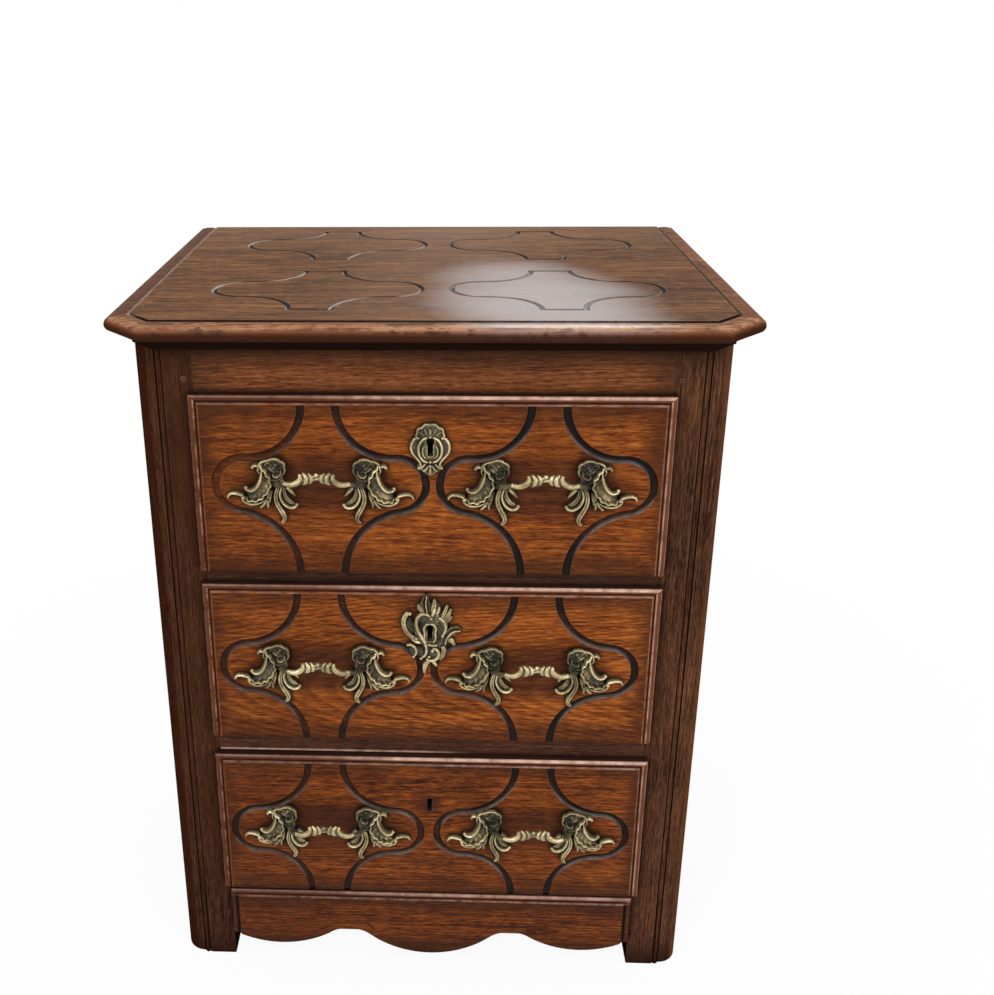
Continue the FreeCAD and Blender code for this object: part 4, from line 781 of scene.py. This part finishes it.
# Pulls. One mount is drawn for the right-hand side: x away from the pull's middle, z up, in millimetres
mount = dict(
    leaves=[
        curl([(59.5, 16), (61.5, 7), (65, 0.5), (71.5, -4.6), (80, -7)], [4, 6, 6.6, 5.6, 3.2],
             [4.4, 5.2, 5.4, 5.2, 4.4], form="hollow", ribs=(6, 0.3), rubbed=0.8, steps=70),
        curl([(53, 1), (55.4, -6), (58.4, -12.6), (60.6, -17.6)], [1.4, 3.2, 4.4, 3.6],
             [5.5, 6.5, 6.4, 5.2], form="crease", rubbed=0.8),
        curl([(58.6, -10), (62, -15.6), (66.4, -20.4)], [1.6, 2.7, 2.0], [7, 7.4, 5.6], rubbed=0.85),
        curl([(57.4, -11), (57.8, -16), (57.4, -20.2)], [1.6, 2.1, 1.4], [6.8, 7, 5.4], rubbed=0.8),
        curl([(59.6, -9.8), (65, -13.4), (71, -15.4), (77.4, -15.4), (83, -12.6), (86, -8.4)],
             [0.8, 1.7, 2.3, 2.6, 2.6, 2.2], [7, 8, 8, 8, 8, 7.5], steps=60),
        curl([(66, 31), (62.2, 27.4), (58.4, 22), (55, 16.8), (53.6, 11), (54.6, 4.4), (58.8, -2),
              (62.7, -6.7), (67.2, -10), (72.7, -11.5), (78.6, -10.8), (82, -8)],
             [2.6, 2.4, 2.1, 1.9, 1.9, 1.9, 1.9, 1.9, 1.8, 1.8, 1.7, 1.5],
             [8.4, 10, 11, 11.4, 11.2, 11, 10.8, 10.6, 10.2, 10, 9.6, 9], wave=(8, 0.75), steps=140,
             across=9),
        curl([(84, -6.6), (90, -4.2), (95.8, -3.8), (100.2, -5.6), (102.2, -9.8)],
             [2.2, 2.3, 2.2, 1.9, 1.3], [7, 7, 6, 5.5, 4.5], steps=44),
        curl([(63, 30), (62.4, 24), (63.4, 17), (66, 9.8), (69.4, 4.2), (74.4, 0.6), (79.4, 1.2),
              (81.6, 4)], [1.9, 2.3, 2.5, 2.5, 2.4, 2.3, 2.2, 1.9], [8, 9.5, 10, 10, 9.5, 9, 8, 7],
             steps=70),
        curl([(61.5, 25), (65.4, 28.4), (69.8, 29.6), (73.4, 27.6)], [2.4, 2.5, 2.3, 1.9],
             [7.5, 7.5, 7, 6]),
        curl([(44, 7.5), (46.8, 1), (48.4, -7), (47.2, -15), (44.2, -22), (41, -28.4), (40, -33.4),
              (41.8, -37.4), (44.4, -39)], [1.9, 2.6, 3.0, 3.2, 3.3, 3.1, 2.7, 2.2, 1.4],
             [7, 9, 9.5, 9, 8.5, 8, 7, 6, 5], form="crease", steps=80),
        curl([(39.4, 4), (39.4, -4), (36.8, -10.2), (32.4, -14.2), (28, -15.6)],
             [1.8, 2.6, 3.1, 2.8, 1.5], [5.5, 6.2, 6.2, 5.7, 5], form="crease", rubbed=0.75, steps=44),
        curl([(41.6, 5.5), (43.9, -3), (42.4, -10.4), (38.6, -16.4), (33.2, -19.6), (28.4, -19.2),
              (25.6, -16.4)], [1.6, 1.9, 2.1, 2.2, 2.3, 2.3, 2.1], [8, 9, 9, 8.5, 8, 7, 6.5], steps=60),
        curl([(36.6, 4.4), (32, -0.4), (27, -6)], [2.2, 2.6, 0.9], [6.5, 6.2, 5], rubbed=0.8),
        curl([(60.4, 27.6), (58.6, 31.6), (55.2, 32.8), (53.2, 30.2)], [1.2, 1.9, 2.0, 1.4],
             [5.4, 6, 5.6, 4.6], rubbed=0.45),
        curl([(41.4, 25.6), (41.8, 20.8), (44.8, 17.4), (49, 17), (51, 20)], [1.2, 1.8, 2.1, 2.0, 1.5],
             [8, 8.6, 8.8, 8.6, 8], rubbed=0.4, steps=44),
    ],
    pearls=[  # x, z, out, radius and rubbed, which is lowered as painted shade under the shell
        (81.0, 3.8, 5.4, 2.4, 0.85), (72.4, 27.8, 4.8, 2.1, 0.85), (84.2, -8.4, 5.6, 3.0, 0.9),
        (26, -16.2, 4.6, 2.4, 0.85), (48.0, 29.6, 1.6, 2.3, 0.5),
    ],
    shell=dict(at=(51.2, 26.4), radius=12.4, aspect=1.22, rim=7.6, lean=2.4, scallops=7, turn=0.5,
               hub=(0.0, -5.0)),
    # the body ball's low last value (0.3) darkens it as patina and as painted shade under the shell
    body=(46.5, 10, 0.0, 8.0, 0.3),
    stem=dict(path=[(46, 9, 5), (43, 12.4, 16), (39, 16.8, 26), (34, 20.4, 31.4)],
              radius=[3.6, 3.0, 2.6, 2.5]),
    stud=dict(at=(43.5, 19.0), radius=2.5, inside=32.0),
    drop=39.0,  # the lowest leaf tip hangs this far below z 0
)
bar = dict(
    arm=dict(path=[(35.4, 20.4, 31), (30, 19.6, 32.2), (25.4, 20.2, 33), (21, 22.2, 33), (17.8, 25.2, 33),
                   (17, 28.6, 32.6), (18.4, 31.4, 32)], radius=[2.5, 2.9, 3.2, 3.3, 3.2, 2.7, 1.7]),
    wraps=[
        dict(path=[(14.4, 32, 31.6), (11.4, 29.8, 33.6), (10.6, 26.6, 33.9), (11.8, 23, 33.4),
                   (14.6, 20.4, 31.6)], radius=[1.7, 2.6, 3.1, 2.8, 1.8]),
        dict(path=[(8.6, 32, 31.8), (6, 30, 33.8), (5.2, 27, 34), (6.2, 23.8, 33), (8.6, 21.6, 31.6)],
             radius=[1.5, 2.2, 2.7, 2.4, 1.5]),
    ],
    core=[(20, 22.8, 31), (14, 25.8, 31.2), (7, 27.2, 31.8), (0, 28, 32)],
    coreRadius=[2.4, 3.2, 3.5, 3.8],
    knob=(0.0, 31.4, 33.6, 2.7),
)


def mountShapes():
    shapes = [strand(leaf) for leaf in mount["leaves"]]
    shapes += [pearl(*spot) for spot in mount["pearls"]]
    shapes.append(shellCup(mount["shell"]))
    shapes.append(pearl(*mount["body"], rings=17, around=28))
    # the stem is darkened as patina and as painted shade under the shell
    shapes.append(tube(mount["stem"]["path"], mount["stem"]["radius"], steps=28, rubbed=0.45))
    stud = mount["stud"]
    x, z = stud["at"]
    shapes.append(tube([(x, z, 3), (x, z, -10), (x, z, -stud["inside"])], [stud["radius"]] * 2, steps=4))
    shapes.append(tube(bar["arm"]["path"], bar["arm"]["radius"], steps=48, rubbed=1.5))
    shapes += [tube(wrap["path"], wrap["radius"], steps=26, around=14, rubbed=1.6) for wrap in bar["wraps"]]
    return shapes


right = mountShapes()
barPath = bar["core"] + [(-x, z, out) for x, z, out in bar["core"][-2::-1]]
barRadius = bar["coreRadius"] + bar["coreRadius"][-2::-1]
pullShapes = right + [mirrored(shape) for shape in right]
pullShapes.append(tube(barPath, barRadius, (5, 0.06, 18), steps=110, around=30))
pullShapes.append(pearl(*bar["knob"], rings=13, around=20))
for part in parts:
    for hand in hands:
        node = part + "_pull_" + hand
        low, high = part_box(node)
        place = ((low.x + high.x) / 2, lipPlane, low.z + mount["drop"] * mm)
        moulded(part + "_cast_pull_" + hand, pullShapes, place, part + "_drawer", node, brass)
print("six pulls cast")


# Escutcheons, drawn about the keyhole's eye, which stands eyeHeight metres above the floor
keyholeEdge = [
    (4.6, 0), (3.9, 2.6), (2.3, 4.1), (0, 4.7), (-2.3, 4.1), (-3.9, 2.6), (-4.6, 0), (-3.9, -2.6),
    (-3.0, -4.2), (-3.0, -8), (-3.0, -12), (-3.0, -15.6), (-1.4, -16.2), (1.4, -16.2), (3.0, -15.6),
    (3.0, -12), (3.0, -8), (3.0, -4.2), (3.9, -2.6),
]
ovalHalf = [
    (4, 20.5), (8, 18.2), (11, 17.2), (13, 14.2), (15, 12.5), (14.3, 8.5), (15.5, 5), (20.5, 0), (22.2, -6),
    (20, -13), (14, -20), (11.4, -25), (14.4, -28.5), (12, -32), (8, -34.5), (5, -37.4),
]
oval = dict(
    outline=[(0, 21.4)] + ovalHalf + [(0, -39.4)] + [(-x, z) for x, z in ovalHalf[::-1]],
    middle=(0, -6), thick=2.6, swell=1.12, eyeHeight=0.729,
    halves=[
        curl([(12, 5.5), (16.5, 3.8), (19.6, -1), (20.6, -7), (18.8, -13), (14.5, -18.5), (10.8, -23.5),
              (10.4, -27), (12, -29.4)], [1.3, 1.6, 1.7, 1.7, 1.7, 1.6, 1.5, 1.5, 1.3],
             [4.4, 4.8, 5, 5, 5, 4.8, 4.6, 4.6, 4.2], steps=70),
        curl([(3.0, 5.6), (8, 3), (11.6, -2.6), (12.6, -9), (11.2, -16), (7, -21.4), (2.2, -23.4)],
             [1.6, 1.8, 1.8, 1.8, 1.8, 1.8, 1.6], [5.2, 5.4, 5.4, 5.4, 5.4, 5.2, 5], steps=60),
        curl([(5.8, -3.6), (8.0, -8), (8.2, -12), (6.8, -16.6), (4, -19.2)], [0.9, 1.2, 1.2, 1.1, 0.8],
             [4.2, 4.4, 4.4, 4.2, 3.8]),
        curl([(3.4, 8), (5.2, 12), (6.4, 16)], [1.1, 1.5, 1.2], [3.4, 3.6, 3.4], rubbed=0.5),
        curl([(6, 6.6), (9.4, 9.6), (12, 12)], [1.1, 1.5, 1.2], [3.4, 3.6, 3.2], rubbed=0.5),
        curl([(13.2, 5), (14.6, 8.8), (14, 12.4), (11.4, 15.4), (8.4, 18), (4.4, 19.6), (0, 21)],
             [1.4, 1.4, 1.3, 1.3, 1.3, 1.3, 1.3], [4.4, 4.8, 4.8, 4.8, 4.8, 4.8, 4.8], wave=(2.75, 0.8),
             steps=70),
        curl([(2, -27), (4.4, -31.5), (7.6, -34)], [1.4, 1.8, 1.5], [4.4, 4.6, 4]),
        curl([(5, -25), (8.6, -28.6), (12, -31)], [1.2, 1.5, 1.3], [4.2, 4.4, 3.8]),
    ],
    strands=[
        curl([(0, 7), (0, 11), (0, 15)], [1.4, 1.8, 1.4], [3.8, 4.2, 3.8], rubbed=0.7),
        curl([(0, -26), (0, -32), (0, -38)], [1.6, 2.2, 1.8], [4.6, 5, 4]),
    ],
    pearls=[(12.2, -29.8, 3.2, 1.9), (13, 4.6, 3.2, 1.8)],
    centre=[(0, -22.6, 4, 2.0), (0, 6.2, 4, 1.7), (0, -27.4, 3.6, 2.4)],
)
rocaille = dict(
    outline=[
        (0, 24), (6, 21), (11, 17), (15, 11), (17.4, 4), (17.6, -4), (16, -12), (13, -20), (11, -28),
        (8, -36), (2, -41), (-4, -40.6), (-8, -36), (-7, -28), (-10, -20), (-15, -12), (-18, -4),
        (-17, 6), (-14, 15), (-8, 22),
    ],
    middle=(0, -6), thick=2.6, swell=1.28, eyeHeight=0.500,
    halves=[
        curl([(0, 6.6), (4.4, 5.4), (7, 0.6), (6.2, -5), (6.4, -13), (3.2, -18.6)],
             [1.2, 1.4, 1.5, 1.5, 1.5, 1.3], [4.2, 4.4, 4.6, 4.6, 4.6, 4.2], steps=50),
        curl([(10, 8), (11.6, 1), (10.6, -8), (8, -15)], [1.6, 2.4, 2.4, 1.4], [3.2, 3.5, 3.5, 3.2],
             form="ribbed", rubbed=0.45),
    ],
    strands=[
        curl([(1, 15), (-3, 19.5), (-9, 20), (-14, 15.5), (-15.6, 7), (-13.4, -2), (-9.4, -10),
              (-5.6, -18), (-3.8, -26), (-5, -33), (-10, -38.4)],
             [1.5, 1.9, 2, 2, 2, 1.9, 1.9, 1.8, 1.7, 1.7, 1.5],
             [5.5, 6.4, 6.6, 6.6, 6.4, 6.4, 6.2, 6, 6, 5.5, 4.6], steps=90),
        curl([(-22.5, 21), (-27.2, 18), (-30, 11), (-29, 2), (-25.3, -5.5), (-20, -10.5), (-15.5, -12.4)],
             [1.8, 2.4, 2.6, 2.6, 2.4, 2.2, 1.8], [5, 5.6, 6, 6, 5.8, 5.6, 5], form="ridge", steps=60),
        curl([(-24, 12), (-22, 5), (-18, 0), (-14, -2)], [2.6, 3.4, 3.2, 2], [4, 4, 4, 3.6],
             form="hollow", rubbed=0.3),
        curl([(-25.4, -20.6), (-21, -20.8), (-16.6, -25), (-15.8, -31.6), (-18.6, -36.6)],
             [1.5, 1.6, 1.6, 1.6, 1.3], [5, 5.4, 5.4, 5, 4.4], steps=44),
        curl([(-12, -24), (-11, -30), (-13.4, -36)], [2.6, 2.8, 1.6], [4, 4, 3.6], form="hollow",
             rubbed=0.4),
        curl([(10, 15.5), (15.4, 11.5), (18, 5), (17.4, -2), (14.6, -8)], [1.5, 1.8, 1.9, 1.7, 1.3],
             [5.2, 5.8, 5.8, 5.4, 4.8], steps=44),
        curl([(15.5, -21), (17.5, -11), (23, -3.8), (29.8, -0.2), (35.6, -1.2)],
             [2.4, 3.4, 3.8, 3.2, 1.5], [5.6, 6, 6, 5.6, 4.6], form="hollow", lobes=(5, 0.25), steps=60),
        curl([(17, -19), (20.6, -9), (27, -2.2), (35, -1.2)], [1.0, 1.2, 1.2, 1.0], [6, 6.4, 6.4, 5]),
        curl([(17, -13), (24.4, -14.4), (28.4, -21)], [2.4, 2.8, 1.3], [5, 5.4, 4.4], form="ridge"),
        curl([(2.4, -25.5), (6.5, -25.6), (10, -30), (9.2, -36.6), (4, -41), (-1.5, -40.6), (-4, -38)],
             [1.5, 1.9, 2.1, 2.1, 2, 1.9, 1.5], [5.4, 6, 6.2, 6, 5.8, 5.6, 5], steps=60),
        curl([(14, -22), (16, -28), (13.6, -35.4), (10.4, -40)], [2.2, 2.9, 2.8, 1.5], [4.8, 5.2, 5, 4.2],
             form="ridge"),
        curl([(-3, 23), (-5.2, 33), (-3.8, 44.6)], [3.8, 4.2, 1.2], [5, 5.6, 4.2], form="hollow",
             lobes=(4, 0.24), steps=44),
        curl([(-3, 22), (-4.6, 33), (-3.6, 43.6)], [1.0, 1.2, 0.8], [6, 6.2, 4.8]),
        curl([(3, 22), (4.6, 31), (5, 39)], [2.6, 3, 1.2], [5, 5.4, 4.4], form="ridge"),
        curl([(-8, 21.5), (-11.8, 27.6), (-13.2, 32)], [2.4, 2.6, 1.2], [5, 5.2, 4.2], form="ridge"),
        curl([(8, 20), (10, 25.6), (10.2, 29.4)], [1.9, 2.1, 1.1], [5, 5, 4.4]),
        curl([(2, 17.4), (4.6, 23.6), (5.6, 28.4)], [1.6, 2.7, 1.6], [6.4, 7.2, 6]),
        curl([(13, 12), (16.6, 22), (20, 31.4)], [1.8, 2.4, 1.4], [4.6, 5.4, 4.4], form="ridge"),
        curl([(16, 11), (21, 19.4), (24, 26.6)], [1.8, 2.4, 1.4], [4.6, 5.2, 4.2], form="ridge"),
        curl([(17, 8.6), (21.6, 12.6), (24.4, 17)], [1.6, 2.1, 1.3], [4.6, 5, 4], form="ridge"),
        curl([(-1, -41), (-5.6, -49), (-6.4, -59)], [2.4, 2.6, 1.1], [5, 5.2, 3.8], form="ridge"),
        curl([(2, -41), (5.8, -45.4), (8.2, -49)], [1.9, 2, 1.0], [4.8, 4.8, 3.8]),
        curl([(-3, -20), (3, -21.4), (9, -20.8)], [1.4, 1.6, 1.4], [4.8, 5, 4.6]),
    ],
    leaves=[
        curl([(-5.6, 19), (-7.4, 28), (-6.4, 37)], [5, 5.6, 2.4], [3.2, 3.8, 3], form="ribbed",
             lobes=(4, 0.2), rubbed=0.45),
        curl([(3.6, 19), (7.6, 26), (8.6, 34)], [4.6, 5.2, 2], [3.2, 3.8, 3], form="ribbed",
             lobes=(3, 0.2), rubbed=0.45),
        curl([(12, 11), (17, 18.6), (20.4, 27)], [4.4, 6, 2.6], [3.2, 3.8, 3], form="ribbed",
             lobes=(3, 0.2), rubbed=0.4),
        curl([(-24, 14), (-24, 4), (-19, -5)], [2.4, 3.6, 2.4], [3, 3.4, 3], form="ribbed", rubbed=0.4),
        curl([(-21, -13), (-15.4, -16.4), (-10.6, -18)], [1.8, 2.8, 1.8], [4.6, 5.4, 4.8]),
        curl([(-21, -24), (-20, -30), (-22, -35)], [3, 3.6, 1.6], [2.4, 2.6, 2.2], form="hollow",
             rubbed=0.2),
    ],
    centre=[
        (3, -27.4, 4.6, 2.4), (-1, -35.6, 4.2, 1.8), (-23, 20.4, 4, 2.4), (-15.8, -12, 4, 2.2),
        (-25.2, -20.6, 3.8, 1.9), (-18.8, -36.4, 3.6, 1.9), (-10.2, -38.2, 3.8, 1.9),
        (1.4, 14.6, 4.6, 2.2), (14.6, -8.2, 4, 1.8),
    ],
)
for part, drawing in (("upper", oval), ("middle", rocaille)):
    shapes = [plate(drawing["outline"], keyholeEdge, drawing["middle"], drawing["thick"])]

    def swollen(line):
        return strand(dict(line, width=[width * drawing["swell"] for width in line["width"]]))

    halves = [swollen(line) for line in drawing["halves"]]
    halves += [pearl(*spot) for spot in drawing.get("pearls", [])]
    shapes += halves + [mirrored(half) for half in halves]
    shapes += [strand(leaf) for leaf in drawing.get("leaves", [])]
    shapes += [swollen(line) for line in drawing["strands"]]
    shapes += [pearl(*spot) for spot in drawing["centre"]]
    place = (0, lipPlane, drawing["eyeHeight"])
    moulded(part + "_cast_escutcheon", shapes, place, part + "_drawer", part + "_escutcheon", brass)
print("two escutcheons cast")


# Stage: pale floor, soft lamps and a camera at the photograph's place
stage = dict(floorHalf=7.0, glow=0.93, floorColour=(250, 250, 250), skyLight=0.55)


def seenRays(signal):  # 1 for the eye, for reflections and through glass
    rays = ("Is Camera Ray", "Is Glossy Ray", "Is Transmission Ray")
    first, *others = [signal.node("ShaderNodeLightPath", out=ray) for ray in rays]
    return sum(others, first)


def floorFinish():
    # white to the eye and to reflections, with the shadow of the part that is still lit
    material, signal, shader, place = newFinish("pale floor")
    floorColour = paint(stage["floorColour"])
    fill(shader, {"Base Color": floorColour, "Roughness": 0.9, "Specular IOR Level": 0.0})
    lit = Signal(signal.tree, shader.outputs[0])
    white = signal.node("ShaderNodeEmission", {0: (1, 1, 1, 1), 1: 1.0})
    distance = signal.node("ShaderNodeVectorMath", {0: place}, 1, operation="LENGTH")
    glow = stage["glow"] + distance.step(0.4, 1.6) * (1 - stage["glow"])
    both = signal.node("ShaderNodeMixShader", {0: seenRays(signal) * glow, 1: lit, 2: white})
    output = found(signal.tree, "OUTPUT_MATERIAL")
    signal.tree.links.new(both.socket, output.inputs[0])
    return material


half = stage["floorHalf"]
floorMesh = bpy.data.meshes.new("floor")
floorCorners = [(-half, -half, 0), (half, -half, 0), (half, half, 0), (-half, half, 0)]
floorMesh.from_pydata(floorCorners, [], [(0, 1, 2, 3)])
floorMesh.materials.append(floorFinish())
floor = placed("floor", floorMesh)

world = bpy.data.worlds.new("studio")
bpy.context.scene.world = world
world.use_nodes = True
sky = Signal(world.node_tree)
skyShader = found(world.node_tree, "BACKGROUND")
skyGlow = stage["skyLight"] + seenRays(sky) * (1 - stage["skyLight"])
fill(skyShader, {"Color": (1, 1, 1, 1), "Strength": skyGlow})

lamps = dict(
    key=dict(place=(-1.5, -2.4, 2.6), aim=(0, -0.1, 0.5), size=1.8, power=46),
    fill=dict(place=(1.7, -2.2, 1.4), aim=(0, -0.1, 0.45), size=1.8, power=22),
    back=dict(place=(0.6, 2.2, 3.2), aim=(0.0, 0.0, 0.8), size=1.4, power=24),
)
for name, lamp in lamps.items():
    light = bpy.data.lights.new(name + "_lamp", "AREA")
    light.size = lamp["size"]
    light.energy = lamp["power"]
    lampObject = placed(name + "_lamp", light)
    lampObject.location = lamp["place"]
    aim = Vector(lamp["aim"]) - lampObject.location
    lampObject.rotation_euler = aim.to_track_quat("-Z", "Y").to_euler()

view = dict(place=(0.013984, -1.348636, 1.167527), pitch=20.40964, yaw=-2.70942, roll=0.59255,
            lens=40.378, shift=(0.10352, -0.07789))
pitch, yaw, roll = (math.radians(view[k]) for k in ("pitch", "yaw", "roll"))
forward = Vector((math.sin(yaw) * math.cos(pitch), math.cos(yaw) * math.cos(pitch), -math.sin(pitch)))
level = Vector((math.cos(yaw), -math.sin(yaw), 0))
down = forward.cross(level)
rightward = level * math.cos(roll) + down * math.sin(roll)
downward = down * math.cos(roll) - level * math.sin(roll)
turned = Matrix((rightward, -downward, -forward)).transposed().to_4x4()
lens = bpy.data.cameras.new("camera")
lens.lens = view["lens"]
lens.sensor_width = 36.0
lens.shift_x, lens.shift_y = view["shift"]
camera = placed("camera", lens)
camera.matrix_world = Matrix.Translation(view["place"]) @ turned
bpy.context.scene.camera = camera
bpy.context.scene.view_settings.view_transform = "Standard"
print("stage set")
